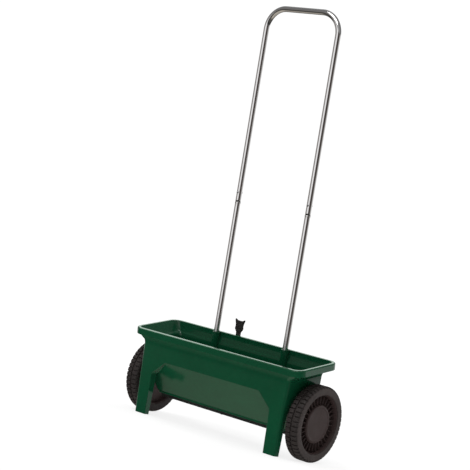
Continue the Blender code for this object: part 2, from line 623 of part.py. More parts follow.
for side, word in ((-1, "left"), (1, "right")):
    def x_profile(points):
        """Mirror a (radius, station) loop to its side, keeping its winding."""
        if side > 0:
            return points
        return [(r, -s) for r, s in reversed(points)]

    turned("axle_bush_" + word, x_profile([
        (7.6, 251.0), (7.6, 238.0), (12.5, 238.0), (12.5, 234.4), (8.0, 234.4), (8.0, 213.0),
        (AXLE_R + 0.35, 213.0), (AXLE_R + 0.35, 251.0)]), 28, BUSH_WHITE, axle_frame)
    turned("thrust_washer_" + word, x_profile([
        (11.0, 252.6), (11.0, 251.4), (AXLE_R + 0.4, 251.4), (AXLE_R + 0.4, 252.6)]), 24, ZINC, axle_frame)
    rim_obj = turned("wheel_rim_" + word, x_profile([
        (77.7, 293.5), (77.7, 258.5), (73.5, 258.5), (72.5, 274.0), (14.5, 272.0), (13.0, 253.0),
        (AXLE_R + 0.4, 253.0), (AXLE_R + 0.4, 281.0), (12.0, 281.0), (14.0, 278.0), (72.0, 279.0), (74.0, 293.5)]),
        48, WHEEL_BLACK, axle_frame)
    if side > 0:
        add(rim_obj, "hub_pin_hole", cylinder_mesh("hub_pin_hole", 1.9, (PIN_X, 0, -20.0), (PIN_X, 0, 20.0), 12),
            "DIFFERENCE", axle_frame)
    turned("tyre_" + word, x_profile([
        (93.0, 296.0), (97.6, 294.8), (99.6, 291.5), (WHEEL_R, 288.0), (WHEEL_R, 278.4), (96.6, 277.6),
        (96.6, 274.4), (WHEEL_R, 273.6), (WHEEL_R, 264.0), (99.6, 260.5), (97.6, 257.2), (93.0, 256.0),
        (78.0, 257.0), (78.0, 295.0)]),
        48, TYRE_BLACK, axle_frame)
    turned("hub_cap_" + word, x_profile([
        (0.0, 290.0), (44.0, 289.6), (48.6, 288.8), (CAP_R, 286.6), (CAP_R, 279.4), (47.6, 279.4),
        (47.4, 285.6), (44.0, 287.0), (0.0, 287.4)]), 36, WHEEL_BLACK, axle_frame)
    if side < 0:
        turned("retaining_clip", x_profile([
            (11.0, 282.6), (11.0, 281.4), (AXLE_R + GAP, 281.4), (AXLE_R + GAP, 282.6)]), 20, ZINC, axle_frame)

for obj in parts.objects:
    if obj.type == "MESH":
        smooth(obj)
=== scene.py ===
import math

import bmesh
import bpy
from mathutils import Matrix, Vector


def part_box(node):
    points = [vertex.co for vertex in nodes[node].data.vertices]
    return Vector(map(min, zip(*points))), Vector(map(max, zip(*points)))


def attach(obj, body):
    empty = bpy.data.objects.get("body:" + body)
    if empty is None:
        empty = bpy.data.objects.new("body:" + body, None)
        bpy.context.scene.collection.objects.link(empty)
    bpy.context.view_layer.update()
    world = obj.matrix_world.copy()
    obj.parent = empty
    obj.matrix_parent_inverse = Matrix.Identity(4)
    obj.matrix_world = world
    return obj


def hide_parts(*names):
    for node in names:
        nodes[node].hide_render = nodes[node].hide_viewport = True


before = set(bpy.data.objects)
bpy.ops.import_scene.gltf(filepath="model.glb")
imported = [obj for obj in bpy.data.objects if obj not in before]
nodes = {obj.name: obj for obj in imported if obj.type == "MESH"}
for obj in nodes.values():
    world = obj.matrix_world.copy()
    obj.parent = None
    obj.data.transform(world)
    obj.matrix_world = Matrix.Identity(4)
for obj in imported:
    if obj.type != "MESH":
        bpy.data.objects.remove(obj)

MM = 0.001
scene = bpy.context.scene
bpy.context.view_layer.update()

# The axle's box gives the wheel axis.  The hopper and everything bolted to it
# are laid out in a frame on that axis, turned forward by the rest stance.
TIP = math.radians(13.9)
axle_lo, axle_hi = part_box("axle")
HUB = Vector((0.0, (axle_lo.y + axle_hi.y) / 2, (axle_lo.z + axle_hi.z) / 2))
AXLE_FRAME = Matrix.Translation(HUB)
HOPPER_FRAME = AXLE_FRAME @ Matrix.Rotation(TIP, 4, "X")

# ---------------------------------------------------------------------------
# Main dimensions, in millimetres, as the CAD has them
# ---------------------------------------------------------------------------
RIM_Z = 151.0
RIM_HALF = 285.5
RIM_FRONT, RIM_REAR = -94.0, 79.0
RIM_RADIUS = 29.0
LEAN = 0.1334
LEAN_ANGLE = math.atan(LEAN)
APRON_Y0 = -85.5
LEG_BOTTOM = -227.5
LEG_OUT, LEG_IN = 242.0, 205.0
WINDOW_TOP, WINDOW_SIDE = -77.0, -114.0
WINDOW_HALF, WINDOW_LEG = 161.0, 203.0
TROUGH_BOTTOM = -178.0
FLOOR_TOP, FLOOR_BOTTOM = -175.0, -180.0
FLOOR_FRONT, FLOOR_REAR = -40.0, 34.0
SLOT_PITCH, SLOT_COUNT = 32.0, 13
TUBE_R, TUBE_X, TUBE_Y = 8.0, 119.0, 63.0
SEAM, HANDLE_TOP, BEND_R = 356.0, 884.0, 58.0
SOCKET_R, SOCKET_DEPTH = 10.6, 96.0
LEVER_X, PIVOT_Z, PIN_DROP = -60.0, -64.0, 113.0
GAP = 0.3

UP_WALL = Vector((0.0, math.sin(LEAN_ANGLE), math.cos(LEAN_ANGLE)))
REARWARD = Vector((0.0, math.cos(LEAN_ANGLE), -math.sin(LEAN_ANGLE)))


def apron_y(z):
    return APRON_Y0 - LEAN * (-20.0 - z)


def tube_y(z):
    return TUBE_Y + LEAN * z


def on_tube(side, z):
    return Vector((side * TUBE_X, tube_y(z), RIM_Z + z))


# ---------------------------------------------------------------------------
# Mesh tools.  Every length handed to them is in millimetres.
# ---------------------------------------------------------------------------
def done(bm, name, weld=0.0):
    if weld:
        bmesh.ops.remove_doubles(bm, verts=bm.verts, dist=weld * MM)
    bmesh.ops.recalc_face_normals(bm, faces=bm.faces)
    mesh = bpy.data.meshes.new(name)
    bm.to_mesh(mesh)
    bm.free()
    return mesh


def loft(name, rings, closed=True, caps=True):
    """Skin through rings of equal length."""
    bm = bmesh.new()
    rows = [[bm.verts.new(Vector(p) * MM) for p in ring] for ring in rings]
    n = len(rows[0])
    for a, b in zip(rows, rows[1:]):
        for i in range(n if closed else n - 1):
            j = (i + 1) % n
            bm.faces.new((a[i], a[j], b[j], b[i]))
    if caps:
        bm.faces.new(rows[0])
        bm.faces.new(rows[-1])
    return done(bm, name)


def fillet(corners, steps=4):
    """A closed outline of (a, b, radius) corners with each corner rounded."""
    out = []
    n = len(corners)
    for i, (a, b, radius) in enumerate(corners):
        here = Vector((a, b))
        before = Vector(corners[i - 1][:2]) - here
        after = Vector(corners[(i + 1) % n][:2]) - here
        if radius <= 0.0 or before.length < 1e-9 or after.length < 1e-9:
            out.append((a, b))
            continue
        u, w = before.normalized(), after.normalized()
        cosine = max(-1.0, min(1.0, u.dot(w)))
        if cosine < -0.9999:
            out.append((a, b))
            continue
        half = math.acos(cosine) / 2
        reach = min(radius / math.tan(half), before.length * 0.49, after.length * 0.49)
        radius = reach * math.tan(half)
        centre = here + (u + w).normalized() * (radius / math.sin(half))
        p0, p1 = here + u * reach - centre, here + w * reach - centre
        turn = math.atan2(p0.x * p1.y - p0.y * p1.x, p0.dot(p1))
        for k in range(steps + 1):
            t = turn * k / steps
            out.append((centre.x + p0.x * math.cos(t) - p0.y * math.sin(t),
                        centre.y + p0.x * math.sin(t) + p0.y * math.cos(t)))
    return out


def lathe(name, loop, segments=96):
    """A closed (radius, station) loop turned about local Z; points on the axis
    close to a pole."""
    bm = bmesh.new()
    columns = []
    poles = {}
    for i, (r, s) in enumerate(loop):
        if r < 1e-6:
            poles[i] = bm.verts.new((0.0, 0.0, s * MM))
    for k in range(segments):
        a = math.tau * k / segments
        columns.append([poles.get(i) or bm.verts.new((r * MM * math.cos(a), r * MM * math.sin(a), s * MM))
                        for i, (r, s) in enumerate(loop)])
    n = len(loop)
    for k in range(segments):
        a, b = columns[k], columns[(k + 1) % segments]
        for i in range(n):
            j = (i + 1) % n
            if i in poles and j in poles:
                continue
            if i in poles:
                bm.faces.new((a[i], a[j], b[j]))
            elif j in poles:
                bm.faces.new((a[i], a[j], b[i]))
            else:
                bm.faces.new((a[i], a[j], b[j], b[i]))
    return done(bm, name)


def stood(mesh, point, direction):
    """The mesh moved so that its own Z stands on a point along a direction."""
    turn = Vector(direction).to_track_quat("Z", "Y").to_matrix().to_4x4()
    mesh.transform(Matrix.Translation(Vector(point) * MM) @ turn)
    return mesh


def sideways(mesh, side=1):
    """Turns a lathe mesh's Z onto X, away from the middle on the given side."""
    turn = Matrix.Rotation(math.radians(90.0), 4, "Y")
    mesh.transform(Matrix.Rotation(math.pi, 4, "Z") @ turn if side < 0 else turn)
    return mesh


def shrink(outline, amount):
    """A closed 2D outline moved inward by `amount`, vertex by vertex."""
    n = len(outline)
    area = sum(outline[i][0] * outline[(i + 1) % n][1] - outline[(i + 1) % n][0] * outline[i][1] for i in range(n))
    way = 1.0 if area > 0 else -1.0
    out = []
    for i in range(n):
        p, q, r = Vector(outline[i - 1]), Vector(outline[i]), Vector(outline[(i + 1) % n])
        d0, d1 = (q - p), (r - q)
        if d0.length < 1e-9 or d1.length < 1e-9:
            out.append(tuple(q))
            continue
        d0.normalize()
        d1.normalize()
        n0, n1 = Vector((-d0.y, d0.x)) * way, Vector((-d1.y, d1.x)) * way
        mid = n0 + n1
        if mid.length < 1e-6:
            out.append(tuple(q))
            continue
        mid.normalize()
        out.append(tuple(q + mid * (amount / max(0.5, mid.dot(n0)))))
    return out


def slab(name, outline, low, high, edge_low=0.0, edge_high=0.0, steps=3):
    """An outline raised from low to high, its two rims rounded."""
    rings = []

    def rim_rings(level, edge, up):
        found = []
        for k in range(steps + 1):
            a = math.pi / 2 * k / steps
            found.append([(x, y, level - up * edge * (1 - math.sin(a)))
                          for x, y in shrink(outline, edge * (1 - math.cos(a)))])
        return found

    if edge_low > 0:
        rings += list(reversed([[(x, y, low + edge_low * (1 - math.cos(math.pi / 2 * k / steps)) )
                                 for x, y in shrink(outline, edge_low * (1 - math.sin(math.pi / 2 * k / steps)))]
                                for k in range(steps, -1, -1)]))
    else:
        rings.append([(x, y, low) for x, y in outline])
    if edge_high > 0:
        rings += [[(x, y, high - edge_high * (1 - math.sin(math.pi / 2 * k / steps)))
                   for x, y in shrink(outline, edge_high * (1 - math.cos(math.pi / 2 * k / steps)))]
                  for k in range(steps + 1)]
    else:
        rings.append([(x, y, high) for x, y in outline])
    return loft(name, rings)


def placed(mesh, origin, across, upward):
    """Puts a mesh's x, y and z on across, upward and their cross product."""
    u, w = Vector(across).normalized(), Vector(upward).normalized()
    turn = Matrix((u, w, u.cross(w))).transposed().to_4x4()
    mesh.transform(Matrix.Translation(Vector(origin) * MM) @ turn)
    return mesh


def block(name, lo, hi, edge=0.6):
    """A box with rounded edges."""
    size = Vector(hi) - Vector(lo)
    radius = min(edge * 1.5, min(size.x, size.y) * 0.45)
    outline = fillet([(0, 0, radius), (size.x, 0, radius), (size.x, size.y, radius), (0, size.y, radius)], 3)
    e = min(edge, size.z * 0.45)
    mesh = slab(name, outline, 0.0, size.z, e, e)
    mesh.transform(Matrix.Translation(Vector(lo) * MM))
    return mesh


def temp(mesh):
    obj = bpy.data.objects.new("temp", mesh)
    scene.collection.objects.link(obj)
    return obj


def combine(name, base, parts):
    """Runs a list of (mesh, operation) Booleans on a mesh, one after another."""
    obj = temp(base)
    helpers = []
    for mesh, operation in parts:
        other = temp(mesh)
        helpers.append(other)
        mod = obj.modifiers.new("cut", "BOOLEAN")
        mod.operation = operation
        mod.solver = "EXACT"
        mod.object = other
    bpy.context.view_layer.update()
    graph = bpy.context.evaluated_depsgraph_get()
    mesh = bpy.data.meshes.new_from_object(obj.evaluated_get(graph))
    mesh.name = name
    for o in [obj] + helpers:
        data = o.data
        bpy.data.objects.remove(o, do_unlink=True)
        bpy.data.meshes.remove(data)
    bm = bmesh.new()
    bm.from_mesh(mesh)
    bmesh.ops.remove_doubles(bm, verts=bm.verts, dist=0.0000004)
    bmesh.ops.dissolve_degenerate(bm, dist=0.0000002, edges=bm.edges)
    bmesh.ops.recalc_face_normals(bm, faces=bm.faces)
    bm.to_mesh(mesh)
    bm.free()
    return mesh


def joined(name, meshes):
    """Several meshes as one, each keeping its own closed skin."""
    bm = bmesh.new()
    for mesh in meshes:
        bm.from_mesh(mesh)
        bpy.data.meshes.remove(mesh)
    return done(bm, name)


def piece(name, mesh, material, body, replaces=(), matrix=HOPPER_FRAME, sharp=38.0, weighted=False):
    obj = bpy.data.objects.new(name, mesh)
    scene.collection.objects.link(obj)
    mesh.transform(matrix)
    mesh.materials.clear()
    mesh.materials.append(material)
    mesh.shade_smooth()
    mesh.set_sharp_from_angle(angle=math.radians(sharp))
    if weighted:
        mod = obj.modifiers.new("flats", "WEIGHTED_NORMAL")
        mod.keep_sharp = True
        mod.weight = 60
    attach(obj, body)
    if replaces:
        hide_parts(*replaces)
    return obj


# ---------------------------------------------------------------------------
# Materials
# ---------------------------------------------------------------------------
class Graph:
    """A short way to write a material's node tree."""

    def __init__(self, name):
        self.mat = bpy.data.materials.new(name)
        self.mat.use_nodes = True
        self.tree = self.mat.node_tree
        self.bsdf = self.tree.nodes["Principled BSDF"]
        self.coord = self.tree.nodes.new("ShaderNodeTexCoord").outputs["Object"]

    def set(self, **values):
        for key, value in values.items():
            socket = self.bsdf.inputs[key.replace("_", " ")]
            socket.default_value = (*value, 1.0) if isinstance(value, tuple) else value

    def link(self, a, b):
        self.tree.links.new(a, b)

    def node(self, kind, inputs=None, **props):
        n = self.tree.nodes.new(kind)
        for key, value in props.items():
            setattr(n, key, value)
        for key, value in (inputs or {}).items():
            if isinstance(value, bpy.types.NodeSocket):
                self.link(value, n.inputs[key])
            else:
                n.inputs[key].default_value = value
        return n

    def noise(self, scale, detail=3.0, rough=0.5, vector=None, distortion=0.0):
        n = self.node("ShaderNodeTexNoise", {"Scale": scale, "Detail": detail, "Roughness": rough,
                                             "Distortion": distortion})
        self.link(vector or self.coord, n.inputs["Vector"])
        return n.outputs["Fac"]

    def stretch(self, x, y, z):
        n = self.node("ShaderNodeMapping", {"Scale": (x, y, z)})
        self.link(self.coord, n.inputs["Vector"])
        return n.outputs["Vector"]

    def cells(self, scale, feature="F1", vector=None):
        n = self.node("ShaderNodeTexVoronoi", {"Scale": scale}, feature=feature)
        self.link(vector or self.coord, n.inputs["Vector"])
        return n.outputs["Distance"]

    def ramp(self, fac, stops):
        n = self.node("ShaderNodeValToRGB")
        self.link(fac, n.inputs["Fac"])
        elements = n.color_ramp.elements
        while len(elements) > 1:
            elements.remove(elements[-1])
        elements[0].position, elements[0].color = stops[0][0], grey(stops[0][1])
        for position, colour in stops[1:]:
            elements.new(position).color = grey(colour)
        return n.outputs["Color"]

    def remap(self, value, a, b, c, d):
        n = self.node("ShaderNodeMapRange", {"From Min": a, "From Max": b, "To Min": c, "To Max": d})
        self.link(value, n.inputs["Value"])
        return n.outputs["Result"]

    def math(self, operation, a, b):
        n = self.node("ShaderNodeMath", operation=operation)
        for i, v in enumerate((a, b)):
            if isinstance(v, bpy.types.NodeSocket):
                self.link(v, n.inputs[i])
            else:
                n.inputs[i].default_value = v
        return n.outputs[0]

    def mix(self, fac, a, b, blend="MIX"):
        n = self.node("ShaderNodeMix", data_type="RGBA", blend_type=blend)
        for key, v in ((0, fac), (6, a), (7, b)):
            if isinstance(v, bpy.types.NodeSocket):
                self.link(v, n.inputs[key])
            else:
                n.inputs[key].default_value = v if key == 0 else grey(v)
        return n.outputs[2]

    def edges(self, radius, low=0.02, high=0.22):
        """1 along convex and concave edges, 0 on flats, from the rounded normal."""
        bevel = self.node("ShaderNodeBevel", {"Radius": radius}, samples=4)
        geometry = self.node("ShaderNodeNewGeometry")
        dot = self.node("ShaderNodeVectorMath", operation="DOT_PRODUCT")
        self.link(bevel.outputs["Normal"], dot.inputs[0])
        self.link(geometry.outputs["Normal"], dot.inputs[1])
        return self.remap(dot.outputs["Value"], 1.0 - low, 1.0 - high, 0.0, 1.0)

    def bevel(self, radius):
        return self.node("ShaderNodeBevel", {"Radius": radius}, samples=4).outputs["Normal"]

    def bump(self, layers, normal=None):
        """Bump layers as (height, distance in metres), chained."""
        for height, distance in layers:
            n = self.node("ShaderNodeBump", {"Strength": 1.0, "Distance": distance})
            self.link(height, n.inputs["Height"])
            if normal is not None:
                self.link(normal, n.inputs["Normal"])
            normal = n.outputs["Normal"]
        self.link(normal, self.bsdf.inputs["Normal"])

    def into(self, name, value):
        self.link(value, self.bsdf.inputs[name])


def grey(c):
    return (c, c, c, 1.0) if isinstance(c, (int, float)) else (*c[:3], 1.0)


def shade(colour, factor):
    return tuple(c * factor for c in colour[:3])


def moulded(name, base, worn, rough=(0.24, 0.36), spec=0.5, grain=0.000012, peel=0.00006,
            bevel=0.0007, wear=0.35, dust=None, dust_amount=0.0):
    """Injection-moulded plastic: faint flow mottling, fine grain, orange peel,
    scuffed edges and a little dust."""
    g = Graph(name)
    g.set(Specular_IOR_Level=spec, IOR=1.46)
    flow = g.noise(7.0, 4.0, 0.55, distortion=0.6)
    mottle = g.noise(95.0, 3.0, 0.6)
    speck = g.noise(1500.0, 2.0, 0.5)
    colour = g.ramp(flow, [(0.28, shade(base, 0.88)), (0.72, shade(base, 1.12))])
    colour = g.mix(g.remap(mottle, 0.35, 0.7, 0.0, 0.22), colour, shade(base, 1.22))
    colour = g.mix(g.remap(speck, 0.52, 0.72, 0.0, 0.16), colour, shade(base, 0.72))
    rub = g.math("MULTIPLY", g.edges(0.0012), g.remap(g.noise(60.0, 4.0, 0.7), 0.40, 0.66, 0.0, wear))
    colour = g.mix(rub, colour, worn)
    if dust is not None:
        settle = g.remap(g.noise(24.0, 5.0, 0.65), 0.42, 0.75, 0.0, dust_amount)
        colour = g.mix(settle, colour, dust)
    g.into("Base Color", colour)
    gloss = g.remap(g.noise(38.0, 4.0, 0.6), 0.3, 0.7, rough[0], rough[1])
    g.into("Roughness", g.math("ADD", gloss, g.math("MULTIPLY", rub, 0.25)))
    g.bump([(g.noise(170.0, 2.0, 0.5), peel), (speck, grain)], g.bevel(bevel))
    return g.mat


def rubbery(name, base, dust_and_sheen, rough=(0.55, 0.75)):
    """Hard wheel plastic or rubber: matt, scuffed high spots, dust in the low ones, a painted sheen on the outer side
    walls and painted shade on the side facing the hopper.
    """
    g = Graph(name)
    g.set(Specular_IOR_Level=0.5, IOR=1.5)
    broad = g.noise(16.0, 4.0, 0.6)
    fine = g.noise(520.0, 3.0, 0.6)
    colour = g.ramp(broad, [(0.3, shade(base, 0.82)), (0.7, shade(base, 1.18))])
    scuff = g.math("MULTIPLY", g.edges(0.0014), g.remap(g.noise(90.0, 4.0, 0.7), 0.35, 0.65, 0.1, 0.75))
    colour = g.mix(scuff, colour, dust_and_sheen)
    colour = g.mix(g.remap(fine, 0.55, 0.75, 0.0, 0.25), colour, dust_and_sheen)
    # the flat outer side walls are painted lighter than the tread, a painted sheen standing in for their reflection,
    # mottled by noise
    across = g.node("ShaderNodeSeparateXYZ", {0: g.coord}).outputs["X"]
    wall = g.remap(g.math("ABSOLUTE", across, 0.0), 0.2945, 0.2955, 0.0, 0.56)
    colour = g.mix(g.math("MULTIPLY", wall, g.remap(broad, 0.25, 0.75, 0.7, 1.0)), colour, dust_and_sheen)
    # painted shade: the side that faces the hopper is darkened where the hopper's shade falls on it
    painted_shade_inner = g.remap(g.math("ABSOLUTE", across, 0.0), 0.2475, 0.2515, 0.78, 0.0)
    colour = g.mix(painted_shade_inner, colour, shade(base, 0.25))
    g.into("Base Color", colour)
    g.into("Roughness", g.remap(g.noise(45.0, 4.0, 0.6), 0.3, 0.7, rough[0], rough[1]))
    g.bump([(g.noise(260.0, 3.0, 0.6), 0.00008), (fine, 0.00003)], g.bevel(0.0006))
    return g.mat


def plated(name, base, rough=(0.035, 0.09), scratch=(60.0, 60.0, 3.0), haze=0.10, ripple=0.0000035):
    """Bright chrome plate: fine drawn lines, faint waviness and light handling marks."""
    g = Graph(name)
    g.set(Metallic=1.0)
    broad = g.noise(14.0, 4.0, 0.6)
    lines = g.noise(28.0, 4.0, 0.7, vector=g.stretch(*scratch))
    smear = g.noise(30.0, 5.0, 0.7)
    colour = g.ramp(broad, [(0.3, shade(base, 0.95)), (0.7, shade(base, 1.03))])
    colour = g.mix(g.remap(smear, 0.55, 0.8, 0.0, haze), colour, (0.62, 0.58, 0.54))
    g.into("Base Color", colour)
    r = g.remap(lines, 0.3, 0.7, rough[0], rough[1])
    g.into("Roughness", g.math("ADD", r, g.remap(smear, 0.52, 0.8, 0.0, 0.08)))
    g.bump([(lines, ripple), (g.noise(900.0, 2.0, 0.5), 0.0000015)], g.bevel(0.0005))
    return g.mat


def zinced(name, base, rough=(0.28, 0.45)):
    """Zinc-plated steel: cloudy passivation, fine grain and dulled edges."""
    g = Graph(name)
    g.set(Metallic=1.0)
    cloud = g.noise(70.0, 4.0, 0.65)
    cell = g.cells(420.0)
    colour = g.ramp(cloud, [(0.3, shade(base, 0.78)), (0.7, shade(base, 1.1))])
    colour = g.mix(g.remap(cell, 0.1, 0.7, 0.0, 0.2), colour, shade(base, 0.8))
    rub = g.edges(0.0006)
    colour = g.mix(g.math("MULTIPLY", rub, 0.35), colour, (0.75, 0.75, 0.74))
    g.into("Base Color", colour)
    g.into("Roughness", g.remap(g.noise(180.0, 3.0, 0.6), 0.3, 0.7, rough[0], rough[1]))
    g.bump([(g.noise(1100.0, 3.0, 0.6), 0.000012)], g.bevel(0.0004))
    return g.mat


GREEN = moulded("hopper_green", (0.0032, 0.060, 0.0250), (0.060, 0.16, 0.10), rough=(0.10, 0.16), grain=0.0000015,
                peel=0.00001, wear=0.25, dust=(0.03, 0.09, 0.05), dust_amount=0.03)
WHEEL = moulded("wheel_black", (0.045, 0.029, 0.0275), (0.10, 0.080, 0.078), rough=(0.40, 0.55), spec=0.30,
                grain=0.00003, peel=0.00005, dust=(0.10, 0.075, 0.065), dust_amount=0.08)
TYRE = rubbery("tyre_black", (0.0215, 0.0155, 0.0145), (0.090, 0.070, 0.065))
LEVER = moulded("lever_black", (0.020, 0.017, 0.016), (0.09, 0.085, 0.08), rough=(0.34, 0.48), spec=0.4,
                grain=0.00003, dust=(0.10, 0.09, 0.08), dust_amount=0.08)
RAIL = moulded("rail_black", (0.010, 0.013, 0.011), (0.06, 0.065, 0.06), rough=(0.40, 0.55), spec=0.4,
               grain=0.00003, dust=(0.11, 0.10, 0.08), dust_amount=0.12)
AGITATOR = moulded("agitator_grey", (0.085, 0.085, 0.088), (0.20, 0.20, 0.20), rough=(0.38, 0.52), spec=0.45,
                   grain=0.00003, dust=(0.16, 0.15, 0.12), dust_amount=0.15)
BUSH = moulded("bush_white", (0.58, 0.58, 0.55), (0.72, 0.72, 0.69), rough=(0.34, 0.48), spec=0.5,
               grain=0.00002, dust=(0.32, 0.29, 0.24), dust_amount=0.18)
CHROME = plated("tube_chrome", (0.80, 0.79, 0.79))
ZINC = zinced("zinc_steel", (0.56, 0.56, 0.57))

# ---------------------------------------------------------------------------
# Hopper
# ---------------------------------------------------------------------------
CORNER_STEPS = 10


def rounded_rect(half, y0, y1, radius, z, steps=CORNER_STEPS):
    ring = []
    for cx, cy, start in ((half - radius, y1 - radius, 0.0), (-half + radius, y1 - radius, 90.0),
                          (-half + radius, y0 + radius, 180.0), (half - radius, y0 + radius, 270.0)):
        for k in range(steps + 1):
            a = math.radians(start + 90.0 * k / steps)
            ring.append((cx + radius * math.cos(a), cy + radius * math.sin(a), z + RIM_Z))
    return ring


def level_loft(name, levels):
    return loft(name, [rounded_rect(half, y0, y1, radius, z) for z, half, y0, y1, radius in levels])


def inset(z, amount):
    """The rim's outline moved inward."""
    return (z, RIM_HALF - amount, RIM_FRONT + amount, RIM_REAR - amount, RIM_RADIUS - amount)


def flowing(keys, per):
    """Catmull-Rom levels between key levels, for the flare under the skirt."""
    out = []
    for i in range(len(keys) - 1):
        p1, p2 = keys[i], keys[i + 1]
        p0 = keys[i - 1] if i else tuple(2 * a - b for a, b in zip(p1, p2))
        p3 = keys[i + 2] if i + 2 < len(keys) else tuple(2 * b - a for a, b in zip(p1, p2))
        for k in range(per):
            t = k / per
            out.append(tuple(
                0.5 * (2 * b + (c - a) * t + (2 * a - 5 * b + 4 * c - d) * t * t + (3 * b - a - 3 * c + d) * t ** 3)
                for a, b, c, d in zip(p0, p1, p2, p3)))
    out.append(keys[-1])
    return out


RECESS = 2.7          # the trough's front panel starts this far behind the apron
REAR_KNEE = -100.0
SIDE_TOP, SIDE_BOTTOM = 246.9, 231.5
REAR_AT_WINDOW = 62.0 + LEAN * (WINDOW_TOP + 40.0)


def side_half(z):
    k = (WINDOW_TOP - z) / (WINDOW_TOP - TROUGH_BOTTOM)
    return SIDE_TOP + (SIDE_BOTTOM - SIDE_TOP) * k


def trough_front(z):
    k = (WINDOW_TOP - z) / (WINDOW_TOP - TROUGH_BOTTOM)
    start = apron_y(WINDOW_TOP) + RECESS
    return start + (FLOOR_FRONT + 2.0 - start) * k


def trough_rear(z):
    k = (REAR_KNEE - z) / (REAR_KNEE - TROUGH_BOTTOM)
    return 54.0 + (32.0 - 54.0) * k


outer = []
for k in range(7):                                  # rounded outer edge of the rim
    a = math.pi / 2 * k / 6
    outer.append(inset(-3.2 * (1 - math.cos(a)), 3.2 * (1 - math.sin(a))))
outer += [inset(-17.2, 0.0), inset(-17.65, 0.12), inset(-17.95, 0.5)]
outer += flowing([(-18.3, 273.0, -90.5, 72.0, 20.0), (-25.0, 261.5, -88.6, 68.3, 15.0),
                  (-31.0, 253.0, -87.5, 64.8, 12.0), (-40.0, 249.3, apron_y(-40.0), 62.0, 10.0)], 4)


def side_out(z):
    """Outer face of the end walls and, further down, of the legs."""
    return 248.5 + (LEG_OUT - 248.5) * max(0.0, (-62.0 - z) / (-62.0 - LEG_BOTTOM))


def corner_radius(z):
    return 9.5 - 3.5 * min(1.0, max(0.0, (-62.0 - z) / (-62.0 - LEG_BOTTOM)))


BLOCK_BOTTOM = LEG_BOTTOM - 8.0
outer += [(z, side_out(z), apron_y(z), 62.0 + LEAN * (z + 40.0), corner_radius(z))
          for z in (-62.0, -79.0, -100.0, -122.0, -150.0, -180.0, -210.0, BLOCK_BOTTOM)]

# the trough: its front panel slants back from just behind the apron's lower edge
trough = [(-70.0, SIDE_TOP, apron_y(-70.0) + RECESS, 57.4, 8.6),
          (WINDOW_TOP, SIDE_TOP, apron_y(WINDOW_TOP) + RECESS, REAR_AT_WINDOW - 0.6, 8.6)]
for z in (-84.0, -92.0):
    trough.append((z, side_half(z), trough_front(z),
                   REAR_AT_WINDOW - 0.6 + (54.6 - REAR_AT_WINDOW) * (WINDOW_TOP - z) / (WINDOW_TOP - REAR_KNEE), 8.6))
trough.append((REAR_KNEE, side_half(REAR_KNEE), trough_front(REAR_KNEE), 54.0, 8.5))
trough.append((-170.0, side_half(-170.0), trough_front(-170.0), trough_rear(-170.0), 8.2))
for drop in (2.0, 4.0, 5.5, 6.7, 7.5, 8.0):         # rounded bottom edge
    z = -170.0 - drop
    side_in = 8.0 - math.sqrt(64.0 - drop * drop)
    lip = max(0.0, drop - 5.5)
    front_in = 2.5 - math.sqrt(max(0.0, 6.25 - lip * lip))
    trough.append((z, side_half(z) - side_in, trough_front(z) + front_in, trough_rear(z) - front_in, 8.0))

FLANGE = 9.2          # width of the rim's flat top
inner = [inset(4.0, FLANGE), inset(0.6, FLANGE), inset(-0.05, FLANGE + 0.05), inset(-0.3, FLANGE + 0.25),
         inset(-0.8, FLANGE + 0.6), (-14.0, 266.0, -85.4, 68.0, 11.0)]
inner += flowing([(-26.0, 257.5, -85.2, 64.2, 8.5), (-31.5, 249.6, -85.2, 61.2, 7.8),
                  (-40.0, 246.5, apron_y(-40.0) + 2.8, 59.2, 7.4)], 3)
inner += [(WINDOW_TOP, SIDE_TOP - 2.8, apron_y(WINDOW_TOP) + RECESS + 2.9, REAR_AT_WINDOW - 2.8, 6.6),
          (REAR_KNEE, side_half(REAR_KNEE) - 2.8, trough_front(REAR_KNEE) + 3.0, 51.0, 6.2),
          (-168.0, side_half(-168.0) - 2.8, trough_front(-168.0) + 3.1, trough_rear(-168.0) - 3.0, 6.0),
          (-172.4, side_half(-172.4) - 3.6, trough_front(-172.4) + 3.9, trough_rear(-172.4) - 3.8, 6.0),
          (FLOOR_TOP, side_half(FLOOR_TOP) - 6.2, trough_front(FLOOR_TOP) + 6.0, trough_rear(FLOOR_TOP) - 6.0, 5.0)]

parts = []


def add(mesh, operation="UNION"):
    parts.append((mesh, operation))


# everything behind the apron and the legs is hollowed out, which leaves a face
# 3 mm thick that turns back round each outer corner
def back_section(z, steps=6):
    k = min(1.0, max(0.0, (z + 60.0) / (LEG_BOTTOM + 60.0)))
    wall, front = side_out(z) - 3.0, apron_y(z)
    deep = front + 20.0 + 38.0 * max(0.0, 1.0 - 2.6 * k)
    r = corner_radius(z) - 2.6
    corners = [(262.0, 130.0, 0), (-262.0, 130.0, 0), (-262.0, deep, 0), (-wall, deep, 1.0),
               (-wall, front + 3.0, r), (wall, front + 3.0, r), (wall, deep, 1.0), (262.0, deep, 0)]
    return [(x, y, z + RIM_Z) for x, y in fillet(corners, steps)]


add(loft("back", [back_section(z) for z in (-79.0, -100.0, -122.0, -150.0, -180.0, -210.0, BLOCK_BOTTOM - 4.0)]),
    "DIFFERENCE")


def flange_section(side, z, steps=4):
    """Section of a leg's inner flange, a little too wide for the window."""
    low = min(1.0, max(0.0, (WINDOW_SIDE - z) / (WINDOW_SIDE - LEG_BOTTOM)))
    xi = WINDOW_LEG + (LEG_IN - WINDOW_LEG) * low
    front = apron_y(z)
    deep = front + 22.0 + (17.0 - 22.0) * low
    corners = [(xi - 1.5, front + 1.2, 0), (xi + 3.0, front + 1.2, 0), (xi + 3.0, deep, 1.3), (xi - 1.5, deep, 0)]
    return [(side * x, y, z + RIM_Z) for x, y in fillet(corners, steps)]


